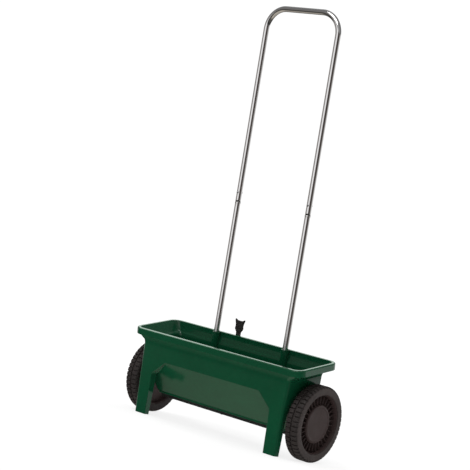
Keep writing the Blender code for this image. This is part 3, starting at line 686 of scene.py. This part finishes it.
slant = Vector((WINDOW_HALF - WINDOW_LEG, WINDOW_TOP - WINDOW_SIDE)).normalized()
away = Vector((slant.y, -slant.x))
for side in (-1, 1):
    add(loft("flange", [flange_section(side, z) for z in (-109.0, WINDOW_SIDE, -150.0, -190.0, BLOCK_BOTTOM + 1.0)]))
    # the window's slanting side is closed back to the trough by a web
    low_end, high_end = Vector((WINDOW_LEG, WINDOW_SIDE)) - slant * 2.5, Vector((WINDOW_HALF, WINDOW_TOP)) + slant * 5.0
    web = [low_end - away * 1.5, low_end + away * 3.1, high_end + away * 3.1, high_end - away * 1.5]
    add(loft("web", [[(side * x, apron_y(z) + 1.3, z + RIM_Z) for x, z in web],
                     [(side * x, max(trough_front(z), apron_y(z) + RECESS) + 1.6, z + RIM_Z) for x, z in web]]))

# the window: one opening from the apron's lower edge down between the legs,
# with a rounded lip where it meets the face
apron_up = Vector((0.0, LEAN, 1.0)).normalized()
scale = math.sqrt(1.0 + LEAN * LEAN)
window_outline = fillet([(x, (z - WINDOW_TOP) * scale, r) for x, z, r in (
    (-WINDOW_HALF, WINDOW_TOP, 7.0), (WINDOW_HALF, WINDOW_TOP, 7.0), (WINDOW_LEG, WINDOW_SIDE, 9.0),
    (LEG_IN + 0.25, LEG_BOTTOM - 16.0, 0.0), (-LEG_IN - 0.25, LEG_BOTTOM - 16.0, 0.0),
    (-WINDOW_LEG, WINDOW_SIDE, 9.0))], 6)
LIP = 1.5
window_rings = [(-118.0, 0.0), (-LIP, 0.0)]
for k in range(1, 6):
    t = math.radians(15.0 * k)
    window_rings.append((-LIP + LIP * math.sin(t), LIP * (1 - math.cos(t))))
window_rings.append((1.5, window_rings[-1][1] + (1.5 - window_rings[-1][0]) / math.tan(math.radians(15.0))))
window = loft("window", [[(x, y, level) for x, y in shrink(window_outline, -grown)] for level, grown in window_rings])
add(placed(window, (0.0, apron_y(WINDOW_TOP), RIM_Z + WINDOW_TOP), (1, 0, 0), apron_up), "DIFFERENCE")
add(level_loft("trough", trough))

# floor of the trough: a thicker slab whose front edge stands out as a lip
floor_outline = fillet([(FLOOR_FRONT - 0.4, FLOOR_BOTTOM, 1.1), (FLOOR_REAR, FLOOR_BOTTOM, 1.1),
                        (FLOOR_REAR, FLOOR_TOP + 0.6, 1.1), (FLOOR_FRONT - 0.4, FLOOR_TOP + 0.6, 1.8)], 4)
add(placed(slab("floor", floor_outline, -221.5, 221.5, 0.8, 0.8), (0, 0, RIM_Z), (0, 1, 0), (0, 0, 1)))
for side in (-1, 1):
    boss = fillet([(0.0, 0.0, 0), (16.0, 0.0, 1.5), (14.0, 14.0, 0.8), (0.0, 14.0, 0)], 3)
    add(sideways(stood(lathe("boss", boss, 48), (0, 0, 220.0), (0, 0, 1)), side))

# the lever's pivot boss
ARM_FRONT = 82.2 + LEAN * PIVOT_Z
wall_y = 62.0 + LEAN * (PIVOT_Z + 40.0)
pivot = Vector((LEVER_X, ARM_FRONT, RIM_Z + PIVOT_Z))
reach = ARM_FRONT - wall_y
add(stood(lathe("pivot_boss", fillet([(0, -1.0, 0), (10.5, -1.0, 0), (8.7, 3.0, 2.0), (8.5, reach - GAP, 0.7),
                                      (0, reach - GAP, 0)], 3), 48),
          pivot - REARWARD * reach, REARWARD))

# level the toes with the ground, then hollow the hopper
ground = block("ground", (-300.0, -260.0, -60.0), (300.0, 260.0, 0.0), 0.0001)
ground.transform(HOPPER_FRAME.inverted() @ Matrix.Translation((0.0, HUB.y, 0.0)))
add(ground, "DIFFERENCE")
add(level_loft("cavity", inner), "DIFFERENCE")

# tube sockets: half-round sleeves in the rear wall, tied to the rim by webs
for side in (-1, 1):
    x = side * TUBE_X
    depth = (SOCKET_DEPTH - 0.35) / math.cos(LEAN_ANGLE)
    sleeve = fillet([(0.0, 0.0, 0), (SOCKET_R, 0.0, 5.0), (SOCKET_R, depth, 0.9), (0.0, depth, 0)], 5)
    add(stood(lathe("socket", sleeve, 48), (x, tube_y(-SOCKET_DEPTH), RIM_Z - SOCKET_DEPTH), UP_WALL))
    web = fillet([(68.0, -1.6, 0), (58.0, -34.0, 0), (63.0, -30.0, 3), (70.0, -19.0, 3), (76.0, -17.0, 1.2),
                  (76.0, -1.6, 0)], 3)
    add(placed(slab("web", web, -4.0, 4.0, 0.7, 0.7), (x, 0, RIM_Z), (0, 1, 0), (0, 0, 1)))
for side in (-1, 1):
    x = side * TUBE_X
    bore = fillet([(0.0, 0.0, 0), (TUBE_R + GAP, 0.0, 0), (TUBE_R + GAP, 93.6, 0.0), (TUBE_R + 1.1, 94.8, 0.0),
                   (TUBE_R + 1.1, 102.0, 0), (0.0, 102.0, 0)], 1)
    add(stood(lathe("bore", bore, 48), (x, tube_y(4.0 - SOCKET_DEPTH), RIM_Z + 4.0 - SOCKET_DEPTH), UP_WALL),
        "DIFFERENCE")
    hole = on_tube(side, -60.0)
    add(stood(lathe("hole", [(0, 0), (2.4, 0), (2.4, 11.0), (0, 11.0)], 20), hole + REARWARD * 5.0, REARWARD),
        "DIFFERENCE")
    add(sideways(stood(lathe("bush_bore", [(0, 0), (8.4, 0), (8.4, 35.0), (0, 35.0)], 48), (0, 0, 205.0),
                       (0, 0, 1)), side), "DIFFERENCE")
add(stood(lathe("pilot", [(0, 0), (2.4, 0), (2.4, 14.5), (0, 14.5)], 20), pivot - REARWARD * 12.5, REARWARD),
    "DIFFERENCE")

# outlet slots, with rounded ends
slot_x = [(i - (SLOT_COUNT - 1) / 2) * SLOT_PITCH for i in range(SLOT_COUNT)]
MID_Y = (FLOOR_FRONT + FLOOR_REAR) / 2
for x in slot_x:
    corners = [(x - 6.0, MID_Y - 12.0, 2.5), (x + 6.0, MID_Y - 12.0, 2.5),
               (x + 6.0, MID_Y + 12.0, 2.5), (x - 6.0, MID_Y + 12.0, 2.5)]
    add(slab("slot", fillet(corners, 3), RIM_Z + FLOOR_BOTTOM - 3.0, RIM_Z + FLOOR_TOP + 3.0), "DIFFERENCE")

hopper_mesh = combine("hopper_shell", level_loft("body", outer), parts)
piece("hopper_shell", hopper_mesh, GREEN, "root", ["hopper"], weighted=True)

# ---------------------------------------------------------------------------
# Wheels
# ---------------------------------------------------------------------------
BLOCKS = 50           # tread blocks in each of the two rows
RIBS = 30             # ribs round the wheel's recessed ring


def tyre_mesh(side):
    """A ring with two rows of tread blocks, half a pitch apart."""
    # stations round the section: (radius of the base, x, height share of row a, of row b)
    section = [
        (78.0, 257.4, 0, 0), (78.0, 275.0, 0, 0), (78.0, 294.6, 0, 0), (78.3, 295.3, 0, 0), (79.2, 295.6, 0, 0),
        (84.0, 295.9, 0, 0), (89.5, 296.0, 0, 0), (91.5, 295.9, 0, 0), (92.4, 295.7, 0.0, 0.10),
        (93.4, 295.2, 0.0, 0.55), (94.2, 294.4, 0, 0.8), (95.0, 293.2, 0, 0.95), (95.5, 291.6, 0, 1.0),
        (95.8, 289.0, 0, 1.0), (95.8, 284.0, 0, 1.0), (95.8, 278.9, 0, 1.0), (95.8, 278.3, 0, 0.85),
        (95.8, 277.7, 0, 0.0), (95.8, 276.0, 0, 0.0), (95.8, 274.3, 0.0, 0.0), (95.8, 273.7, 0.85, 0),
        (95.8, 273.1, 1.0, 0), (95.8, 268.0, 1.0, 0), (95.8, 263.0, 1.0, 0), (95.5, 260.4, 1.0, 0),
        (95.0, 258.8, 0.95, 0), (94.2, 257.6, 0.8, 0), (93.4, 256.8, 0.55, 0), (92.4, 256.3, 0.10, 0),
        (91.5, 256.1, 0, 0), (89.5, 256.0, 0, 0), (84.0, 256.1, 0, 0), (79.2, 256.4, 0, 0), (78.3, 256.7, 0, 0),
    ]
    height = 4.2
    # columns within one pitch: share of the pitch, and how high a row's block stands there
    fractions = [0.0, 0.095, 0.125, 0.155, 0.25, 0.345, 0.375, 0.405, 0.5, 0.595, 0.625, 0.655, 0.75, 0.845, 0.875, 0.905]

    def stand(f):
        f = f % 1.0
        edge = min(f, 1.0 - f)
        if edge < 0.10:
            return 0.0
        if edge < 0.13:
            return 0.80
        return 1.0

    bm = bmesh.new()
    columns = []
    for b in range(BLOCKS):
        for f in fractions:
            a = math.tau * (b + f) / BLOCKS
            row_a, row_b = stand(f), stand(f + 0.5)
            column = []
            for r, x, sa, sb in section:
                # the block stands out along the section's own outward direction
                h = height * (sa * row_a + sb * row_b)
                out = min(1.0, max(0.0, (r - 90.0) / 6.0))
                rr = r + h * out
                xx = x + (1 if x > 276.0 else -1) * 0.0
                column.append(bm.verts.new((side * xx * MM, -rr * MM * math.sin(a), rr * MM * math.cos(a))))
            columns.append(column)
    n = len(section)
    for i in range(len(columns)):
        a, b = columns[i], columns[(i + 1) % len(columns)]
        for k in range(n):
            j = (k + 1) % n
            bm.faces.new((a[k], a[j], b[j], b[k]))
    return done(bm, "tyre")


def wheel_mesh(side):
    """Barrel, sunk web and hub, with thin radial ribs round the outer face."""
    loop = fillet([
        (77.7, 293.9, 0.5), (77.7, 258.1, 0.5), (75.6, 258.1, 0.8), (75.0, 262.0, 0.5), (74.6, 273.0, 2.5),
        (18.0, 271.0, 3.0), (14.0, 262.0, 2.0), (13.0, 253.0, 0.8), (5.4, 253.0, 0.3), (5.4, 281.0, 0.3),
        (12.0, 281.0, 0.6), (14.0, 278.0, 1.0), (51.0, 278.6, 0.0), (74.8, 277.6, 2.0), (75.6, 291.0, 0.5),
        (76.0, 293.9, 0.6)], 3)
    meshes = [sideways(lathe("wheel", loop, 128), side)]
    for k in range(RIBS):
        outline = fillet([(47.0, 0.0, 0.0), (75.4, 0.0, 0.0), (75.4, 9.0, 0.8), (47.0, 9.0, 0.8)], 2)
        rib = slab("rib", outline, -0.85, 0.85, 0.4, 0.4, 2)
        # outline's x is the radius, its y the station along the axle
        rib.transform(Matrix(((0, 1, 0, 0), (0, 0, 1, 0), (1, 0, 0, 0), (0, 0, 0, 1))))
        rib.transform(Matrix.Translation((277.2 * MM, 0, 0)))
        if side < 0:
            rib.transform(Matrix.Rotation(math.pi, 4, "Z"))
        rib.transform(Matrix.Rotation(math.tau * (k + 0.5) / RIBS, 4, "X"))
        meshes.append(rib)
    return joined("wheel", meshes)


for side, word, body in ((-1, "left", "left_wheel"), (1, "right", "drive_axle")):
    piece("tyre_tread_" + word, tyre_mesh(side), TYRE, body, ["tyre_" + word],
          matrix=AXLE_FRAME, sharp=32.0)
    piece("wheel_centre_" + word, wheel_mesh(side), WHEEL, body, ["wheel_rim_" + word],
          matrix=AXLE_FRAME, sharp=40.0)
    cap = fillet([(0.0, 289.2, 0), (43.0, 289.0, 2.0), (44.6, 290.0, 0.8), (48.8, 289.4, 1.0), (50.0, 287.0, 0.8),
                  (50.0, 279.4, 0.4), (47.6, 279.4, 0.4), (47.4, 285.6, 1.0), (0.0, 286.8, 0)], 4)
    piece("hub_cover_" + word, sideways(lathe("cap", cap, 128), side), WHEEL, body, ["hub_cap_" + word],
          matrix=AXLE_FRAME, sharp=45.0)

# ---------------------------------------------------------------------------
# Handle
# ---------------------------------------------------------------------------
TUBE_FOOT = 6.0 - SOCKET_DEPTH
TUBE_LEN = (SEAM - TUBE_FOOT) / math.cos(LEAN_ANGLE)
BOLT_Z = SEAM + 26.0


def swept(name, path, radius, sides=64, ends=0.5):
    """A tube along a path, its two ends slightly rounded and closed."""
    points = [Vector(p) for p in path]
    tangents = []
    for i, p in enumerate(points):
        a = points[max(0, i - 1)]
        b = points[min(len(points) - 1, i + 1)]
        tangents.append((b - a).normalized())
    normal = Vector((0.0, 1.0, 0.0))
    rings = []
    for i, (p, t) in enumerate(zip(points, tangents)):
        normal = (normal - t * normal.dot(t)).normalized()
        side = t.cross(normal)
        stages = [(radius, 0.0)]
        if i == 0:
            stages = [(radius - ends, 0.0), (radius - ends * 0.3, ends * 0.3), (radius, ends)]
        elif i == len(points) - 1:
            stages = [(radius, -ends), (radius - ends * 0.3, -ends * 0.3), (radius - ends, 0.0)]
        for r, shift in stages:
            rings.append([p + t * shift + (normal * math.cos(a) + side * math.sin(a)) * r
                          for a in (math.tau * k / sides for k in range(sides))])
    return loft(name, rings)


def stations(length):
    """Where the handle's legs have a ring; close together round the bolts."""
    bolt = (BOLT_Z - SEAM) / math.cos(LEAN_ANGLE) - 0.25
    close = [bolt + d for d in (-5.0, -3.6, -3.1, 0.0, 3.1, 3.6, 5.0)]
    return [0.0, 6.0] + close + [bolt + 8.0 + (length - bolt - 8.0) * k / 20 for k in range(21)]


def handle_path():
    path = []
    left = on_tube(-1, SEAM) + UP_WALL * 0.25
    top = on_tube(-1, HANDLE_TOP)
    length = (top - left).length - BEND_R
    for share in stations(length):
        path.append(left + UP_WALL * share)
    for side in (-1, 1):
        centre = Vector((side * (TUBE_X - BEND_R), top.y, top.z)) - UP_WALL * BEND_R
        arc = []
        for k in range(1, 24):
            a = math.pi / 2 * k / 24
            arc.append(centre + Vector((side * BEND_R * math.cos(a), 0, 0)) + UP_WALL * BEND_R * math.sin(a))
        if side < 0:
            path += arc
            for k in range(9):
                path.append(Vector((-(TUBE_X - BEND_R) + 2 * (TUBE_X - BEND_R) * k / 8, top.y, top.z)))
        else:
            path += list(reversed(arc))
    right = on_tube(1, SEAM) + UP_WALL * 0.25
    for share in reversed(stations(length)):
        path.append(right + UP_WALL * share)
    return path


handle_parts = []
for side in (-1, 1):
    at = on_tube(side, BOLT_Z)
    handle_parts.append((stood(lathe("hole", [(0, 0), (2.7, 0), (2.7, 24.0), (0, 24.0)], 24), at - REARWARD * 12.0,
                               REARWARD), "DIFFERENCE"))
piece("handle_bow", combine("handle_bow", swept("handle", handle_path(), TUBE_R, 72), handle_parts),
      CHROME, "root", ["upper_handle"], sharp=30.0)
for side, word in ((-1, "left"), (1, "right")):
    stem = fillet([(0.0, 0.0, 0), (6.8, 0.0, 0.2), (TUBE_R, 0.0, 0.4), (TUBE_R, TUBE_LEN - 3.2, 0.6),
                   (TUBE_R + 0.45, TUBE_LEN - 2.6, 0.5), (TUBE_R + 0.45, TUBE_LEN - 0.5, 0.5),
                   (TUBE_R - 0.2, TUBE_LEN - 0.05, 0.1), (6.4, TUBE_LEN - 0.02, 0.0), (6.4, TUBE_LEN + 50.0, 1.0), (0.0, TUBE_LEN + 50.0, 0)], 4)
    # extra rings along the stem keep its facets short
    long_loop = []
    for i, (r, s) in enumerate(stem):
        nr, ns = stem[(i + 1) % len(stem)]
        long_loop.append((r, s))
        if abs(r - nr) < 1e-6 and r > 7.5 and ns - s > 100.0:
            long_loop += [(r, s + (ns - s) * k / 16) for k in range(1, 16)]
    piece("lower_stem_" + word, stood(lathe("stem", long_loop, 72), on_tube(side, TUBE_FOOT), UP_WALL),
          CHROME, "root", ["lower_tube_" + word], sharp=30.0)


def domed_screw(name, head_r, head_h, shank_r, shank, recess=True, segments=48):
    """A domed screw head on its shank, with a cross recess."""
    loop = fillet([(0.0, head_h, 0), (head_r * 0.55, head_h * 0.92, 3.0), (head_r * 0.9, head_h * 0.5, 2.0),
                   (head_r, head_h * 0.12, 0.2), (head_r, 0.0, 0.15), (shank_r, 0.0, 0.0), (shank_r, -shank, 0.3),
                   (0.0, -shank, 0)], 4)
    mesh = lathe(name, loop, segments)
    if not recess:
        return mesh
    arm = head_r * 0.52
    cuts = []
    for turn in (0.0, math.pi / 2):
        w = head_r * 0.12
        wedge = [[(-arm * 0.55, -w * 0.6, head_h * 0.35), (arm * 0.55, -w * 0.6, head_h * 0.35),
                  (arm * 0.55, w * 0.6, head_h * 0.35), (-arm * 0.55, w * 0.6, head_h * 0.35)],
                 [(-arm, -w, head_h * 1.2), (arm, -w, head_h * 1.2), (arm, w, head_h * 1.2), (-arm, w, head_h * 1.2)]]
        cut = loft("recess", wedge)
        cut.transform(Matrix.Rotation(turn + 0.4, 4, "Z"))
        cuts.append((cut, "DIFFERENCE"))
    return combine(name, mesh, cuts)


def hex_nut(name, across, low, high, bore):
    """A hexagon nut with chamfered corners."""
    corner = across / 2 / math.cos(math.pi / 6)
    outline = [(corner * math.cos(math.tau * k / 6), corner * math.sin(math.tau * k / 6)) for k in range(6)]
    body = slab(name, outline, low, high)
    keep = lathe("chamfer", fillet([(0.0, low - 0.01, 0), (across / 2 * 0.97, low - 0.01, 0), (corner * 1.02, low + 0.7, 0),
                                    (corner * 1.02, high - 0.7, 0), (across / 2 * 0.97, high + 0.01, 0),
                                    (0.0, high + 0.01, 0)], 1), 48)
    hole = lathe("bore", [(0, low - 1), (bore, low - 1), (bore, high + 1), (0, high + 1)], 32)
    return combine(name, body, [(keep, "INTERSECT"), (hole, "DIFFERENCE")])


for side, word in ((-1, "left"), (1, "right")):
    at = on_tube(side, BOLT_Z)
    bolt = domed_screw("bolt", 3.3, 1.6, 2.3, 18.6)
    bolt.transform(Matrix.Translation((0, 0, 8.05 * MM)))
    piece("joint_bolt_head_" + word, stood(bolt, at, -REARWARD), ZINC, "root", ["joint_bolt_" + word])
    piece("joint_nut_hex_" + word, stood(hex_nut("nut", 6.6, 8.1, 10.3, 2.5), at, REARWARD), ZINC, "root",
          ["joint_nut_" + word])
    at = on_tube(side, -60.0)
    screw = domed_screw("screw", 3.8, 2.4, 1.8, 7.6)
    screw.transform(Matrix.Translation((0, 0, 11.0 * MM)))
    piece("tube_screw_head_" + word, stood(screw, at, REARWARD), ZINC, "root", ["tube_screw_" + word])

# ---------------------------------------------------------------------------
# Lever
# ---------------------------------------------------------------------------
arm_mid = pivot + REARWARD * 2.0
right_side = [(7.2, -118.0), (9.5, -100.0), (9.5, -20.0), (8.6, 12.0), (7.8, 50.0), (7.6, 69.0), (8.4, 73.0),
              (10.2, 76.4), (12.4, 79.0), (13.0, 82.4), (12.1, 86.2), (11.7, 89.0), (12.2, 93.0), (13.4, 98.0),
              (15.2, 103.4), (15.9, 106.2), (15.2, 107.3)]
dish = [(12.4, 105.6)] + [(9.0 - 3.6 * k, 104.1 - 0.9 * math.sin(math.pi * (k + 1) / 7)) for k in range(6)] + [(-12.4, 105.6)]
foot = [(7.2 * math.cos(a), -118.0 + 7.2 * math.sin(a)) for a in (math.radians(180.0 + 20.0 * k) for k in range(1, 9))]
lever_outline = right_side + dish + [(-u, w) for u, w in reversed(right_side)] + foot
# across is +X and up is the wall's direction, so a slab's own z runs to the front
def melted(name, meshes, voxel, rounds):
    """Overlapping solids grown into one skin whose edges are softened."""
    obj = temp(joined(name, meshes))
    mod = obj.modifiers.new("skin", "REMESH")
    mod.mode = "VOXEL"
    mod.voxel_size = voxel * MM
    soften = obj.modifiers.new("soften", "SMOOTH")
    soften.factor = 0.5
    soften.iterations = rounds
    graph = bpy.context.evaluated_depsgraph_get()
    mesh = bpy.data.meshes.new_from_object(obj.evaluated_get(graph))
    data = obj.data
    bpy.data.objects.remove(obj, do_unlink=True)
    bpy.data.meshes.remove(data)
    return mesh


arm = placed(slab("arm", lever_outline, -2.0, 2.0), arm_mid, (1, 0, 0), UP_WALL)
paddle_outline = [(u * 0.95, 84.0 + (w - 84.0) * 0.94) for u, w in
                  right_side[6:] + dish + [(-u, w) for u, w in reversed(right_side[6:])]]
paddle = placed(slab("paddle", paddle_outline, -4.0, 4.0), arm_mid, (1, 0, 0), UP_WALL)
hub = stood(lathe("hub", [(0, 0.01), (11.0, 0.01), (11.0, 5.6), (0, 5.6)], 64), pivot, REARWARD)
spine = placed(slab("spine", [(-1.6, -100.0), (1.6, -100.0), (1.6, 78.0), (-1.6, 78.0)], -3.2, 2.0),
               arm_mid, (1, 0, 0), UP_WALL)
lever_solids = [arm, paddle, hub, spine]
for k in range(5):                                   # thumb ribs across both faces of the paddle
    w = 84.5 + 3.9 * k
    wide = 9.6 if k < 3 else 10.6
    lever_solids.append(placed(slab("rib", [(-wide, w - 0.8), (wide, w - 0.8), (wide, w + 0.8), (-wide, w + 0.8)],
                                    -4.8, 4.8), arm_mid, (1, 0, 0), UP_WALL))
bore = stood(lathe("bore", [(0, -2), (3.0, -2), (3.0, 8), (0, 8)], 40), pivot, REARWARD)
slot_outline = []
for start, w in ((0.0, -PIN_DROP + 3.0), (180.0, -PIN_DROP - 3.5)):
    for k in range(13):
        a = math.radians(start + 15.0 * k)
        slot_outline.append((3.4 * math.cos(a), w + 3.4 * math.sin(a)))
slot_cut = placed(slab("slot", slot_outline, -6.0, 6.0), arm_mid, (1, 0, 0), UP_WALL)
piece("lever_arm", combine("lever_arm", melted("lever_arm", lever_solids, 0.8, 2),
                           [(bore, "DIFFERENCE"), (slot_cut, "DIFFERENCE")]),
      LEVER, "lever", ["lever"], sharp=50.0)
washer = lathe("washer", fillet([(7.0, 0.0, 0.25), (7.0, 1.0, 0.25), (2.4, 1.0, 0.2), (2.4, 0.0, 0.2)], 3), 64)
piece("pivot_washer", stood(washer, pivot + REARWARD * (5.6 + GAP), REARWARD), ZINC, "root",
      ["lever_washer"])
screw = domed_screw("pivot_screw", 4.8, 3.6, 1.9, 18.6)
piece("pivot_screw", stood(screw, pivot + REARWARD * (6.6 + 2 * GAP), REARWARD), ZINC, "root",
      ["lever_pivot_screw"])

# ---------------------------------------------------------------------------
# CAD nodes whose shape stays, with their finish
# ---------------------------------------------------------------------------
for name, material in [("agitator", AGITATOR), ("shutter", RAIL), ("shutter_rail_front", RAIL),
                       ("shutter_rail_rear", RAIL), ("axle", ZINC), ("drive_pin", ZINC), ("retaining_clip", ZINC),
                       ("thrust_washer_left", ZINC), ("thrust_washer_right", ZINC),
                       ("axle_bush_left", BUSH), ("axle_bush_right", BUSH)] + [
                           ("rail_screw_%s_%d" % (row, i), ZINC) for row in ("front", "rear") for i in (1, 2, 3)]:
    obj = nodes[name]
    obj.data.materials.clear()
    obj.data.materials.append(material)

# ---------------------------------------------------------------------------
# Floor, light and camera
# ---------------------------------------------------------------------------
bm = bmesh.new()
bmesh.ops.create_grid(bm, x_segments=8, y_segments=8, size=60.0)
floor_mesh = bpy.data.meshes.new("studio_floor")
bm.to_mesh(floor_mesh)
bm.free()
floor = bpy.data.objects.new("studio_floor", floor_mesh)
scene.collection.objects.link(floor)
floor.location.z = -0.0002
g = Graph("studio_floor")
g.bsdf.inputs["Roughness"].default_value = 0.9
g.bsdf.inputs["Specular IOR Level"].default_value = 0.0
g.into("Base Color", g.ramp(g.noise(3.0, 3.0), [(0.3, 0.22), (0.7, 0.25)]))
distance = g.node("ShaderNodeVectorMath", operation="LENGTH")
g.link(g.coord, distance.inputs[0])
g.into("Emission Strength", g.remap(distance.outputs["Value"], 0.9, 3.0, 0.80, 1.0))
g.bsdf.inputs["Emission Color"].default_value = (1, 1, 1, 1)
floor_mesh.materials.append(g.mat)
floor.visible_glossy = False


def softbox(name, azimuth, elevation, distance, size, radiance, colour=(1, 1, 1), target=(0.0, 0.0, 0.25)):
    """A rectangular soft light aimed at the object; azimuth 0 is in front, 90 on +X."""
    a, e = math.radians(azimuth), math.radians(elevation)
    way = Vector((math.sin(a) * math.cos(e), -math.cos(a) * math.cos(e), math.sin(e)))
    light = bpy.data.lights.new(name, "AREA")
    light.shape = "RECTANGLE"
    light.size, light.size_y = size
    light.energy = radiance * math.pi * size[0] * size[1]
    light.color = colour
    obj = bpy.data.objects.new(name, light)
    scene.collection.objects.link(obj)
    obj.location = Vector(target) + way * distance
    obj.rotation_mode = "QUATERNION"
    obj.rotation_quaternion = way.to_track_quat("Z", "Y")
    return obj


softbox("soft_left", -75.0, 48.0, 2.6, (1.7, 1.1), 5.0)
softbox("soft_front", 5.0, 55.0, 2.7, (1.8, 1.0), 4.0)
softbox("soft_back", 172.0, 42.0, 2.8, (1.9, 0.9), 4.5)
softbox("soft_right", 95.0, 62.0, 2.8, (1.0, 1.0), 3.3)
# two near panels that only show as sheen on the hopper's rim
glossy = bpy.data.collections.new("glossy")
glossy.objects.link(bpy.data.objects["hopper_shell"])
for sheen in (softbox("sheen_left", -84.0, 45.0, 1.5, (1.7, 0.5), 3.2, (0.84, 1.0, 0.88), (0.0, 0.0, 0.2)),
              softbox("sheen_top", -138.0, 24.0, 2.0, (1.1, 0.55), 1.3, (0.84, 1.0, 0.88), (0.0, 0.0, 0.27))):
    sheen.visible_diffuse = False
    sheen.light_linking.receiver_collection = glossy
for name in ("soft_left", "soft_back", "soft_right"):
    bpy.data.objects[name].visible_glossy = False

world = bpy.data.worlds.new("studio")
scene.world = world
world.use_nodes = True
tree = world.node_tree
tree.nodes.clear()


def wnode(kind, **props):
    n = tree.nodes.new(kind)
    for key, value in props.items():
        setattr(n, key, value)
    return n


def wmath(operation, a, b=0.0, clamp=False):
    n = wnode("ShaderNodeMath", operation=operation, use_clamp=clamp)
    for i, v in enumerate((a, b)):
        if isinstance(v, bpy.types.NodeSocket):
            tree.links.new(v, n.inputs[i])
        else:
            n.inputs[i].default_value = v
    return n.outputs[0]


def wramp(value, stops, low, high):
    """A smooth colour ramp over real values from low to high."""
    n = wnode("ShaderNodeValToRGB")
    n.color_ramp.interpolation = "EASE"
    elements = n.color_ramp.elements
    while len(elements) > 1:
        elements.remove(elements[-1])
    for i, (v, c) in enumerate(stops):
        e = elements[0] if i == 0 else elements.new((v - low) / (high - low))
        e.position = (v - low) / (high - low)
        e.color = grey(c)
    scaled = wmath("DIVIDE", wmath("SUBTRACT", value, low), high - low, True)
    tree.links.new(scaled, n.inputs["Fac"])
    return n.outputs["Color"]


def wmix(fac, a, b):
    n = wnode("ShaderNodeMix", data_type="RGBA")
    for key, v in ((0, fac), (6, a), (7, b)):
        if isinstance(v, bpy.types.NodeSocket):
            tree.links.new(v, n.inputs[key])
        else:
            n.inputs[key].default_value = v if key == 0 else grey(v)
    return n.outputs[2]


coords = wnode("ShaderNodeTexCoord")
axes = wnode("ShaderNodeSeparateXYZ")
tree.links.new(coords.outputs["Generated"], axes.inputs[0])
azimuth = wmath("MULTIPLY", wmath("ARCTAN2", axes.outputs["X"], wmath("MULTIPLY", axes.outputs["Y"], -1.0)), 180 / math.pi)
elevation = wmath("MULTIPLY", wmath("ARCSINE", axes.outputs["Z"]), 180 / math.pi)
# round the horizon: a broad soft light in front and to the left, a dark side
# on the right, a paler one on the left, and the white sweep behind
around = wramp(azimuth, [
    (-180, 1.0), (-132, 1.0), (-108, (0.74, 0.73, 0.71)), (-84, (0.42, 0.40, 0.39)), (-58, (0.26, 0.25, 0.24)),
    (-38, (0.19, 0.18, 0.175)), (-33, (0.22, 0.21, 0.205)), (-24, 0.95), (10, 1.0), (22, 0.82), (31, (0.16, 0.14, 0.13)), (42, (0.075, 0.062, 0.058)),
    (84, (0.060, 0.050, 0.047)), (96, (0.17, 0.16, 0.15)), (112, (0.32, 0.31, 0.30)), (130, (0.55, 0.54, 0.53)),
    (141, 0.92), (180, 1.0)], -180, 180)
above = wramp(azimuth, [(-180, 0.30), (-150, 0.35), (-128, 0.40), (-112, 0.35), (-90, 0.22), (-40, 0.17),
                        (-20, 0.40), (40, 0.40), (60, 0.30), (110, 0.18), (160, 0.20), (180, 0.30)], -180, 180)
overhead = wramp(elevation, [(9, 0.0), (17, 1.0), (90, 1.0)], -90, 90)
beneath = wramp(elevation, [(-90, (0.62, 0.58, 0.50)), (-58, (0.50, 0.46, 0.40)), (-40, (0.10, 0.095, 0.085)),
                            (-17, (0.035, 0.035, 0.033)), (0, (0.035, 0.035, 0.033))], -90, 90)
low_front = wramp(elevation, [(-14.2, 1.0), (-12.2, 0.0)], -90, 90)
low_back = wmath("MULTIPLY", wramp(elevation, [(-9.5, 1.0), (-5.0, 0.0)], -90, 90),
                 wramp(azimuth, [(105, 0.0), (125, 1.0)], -180, 180))
low = wmath("MAXIMUM", low_front, low_back)
sky = wmix(overhead, around, above)
sky = wmix(low, sky, beneath)
path = wnode("ShaderNodeLightPath")
ambient = wnode("ShaderNodeBackground")
tree.links.new(sky, ambient.inputs["Color"])
ambient.inputs["Strength"].default_value = 1.0
plain = wnode("ShaderNodeBackground")
plain.inputs["Color"].default_value = (1, 1, 1, 1)
plain.inputs["Strength"].default_value = 1.05
blend = wnode("ShaderNodeMixShader")
tree.links.new(path.outputs["Is Camera Ray"], blend.inputs[0])
tree.links.new(ambient.outputs[0], blend.inputs[1])
tree.links.new(plain.outputs[0], blend.inputs[2])
out = wnode("ShaderNodeOutputWorld")
tree.links.new(blend.outputs[0], out.inputs["Surface"])

scene.view_settings.view_transform = "Standard"
scene.view_settings.look = "None"

# the camera, given in the hopper's frame
AZ, EL, ROLL = 0.6768509, 0.1634150, -0.0804896
forward = Vector((-math.sin(AZ) * math.cos(EL), math.cos(AZ) * math.cos(EL), -math.sin(EL)))
right = Vector((math.cos(AZ), math.sin(AZ), 0.0))
up = right.cross(forward)
across = right * math.cos(ROLL) - up * math.sin(ROLL)
upright = right * math.sin(ROLL) + up * math.cos(ROLL)
pose = Matrix((across, upright, -forward)).transposed().to_4x4()
camera_data = bpy.data.cameras.new("camera")
camera = bpy.data.objects.new("camera", camera_data)
scene.collection.objects.link(camera)
camera.matrix_world = HOPPER_FRAME @ Matrix.Translation(Vector((2351.57, -2965.76, 914.70 + RIM_Z)) * MM) @ pose
camera_data.sensor_width = 36.0
camera_data.lens = 1461.01 * 36.0 / 470.0
camera_data.clip_start, camera_data.clip_end = 0.05, 200.0
scene.camera = camera
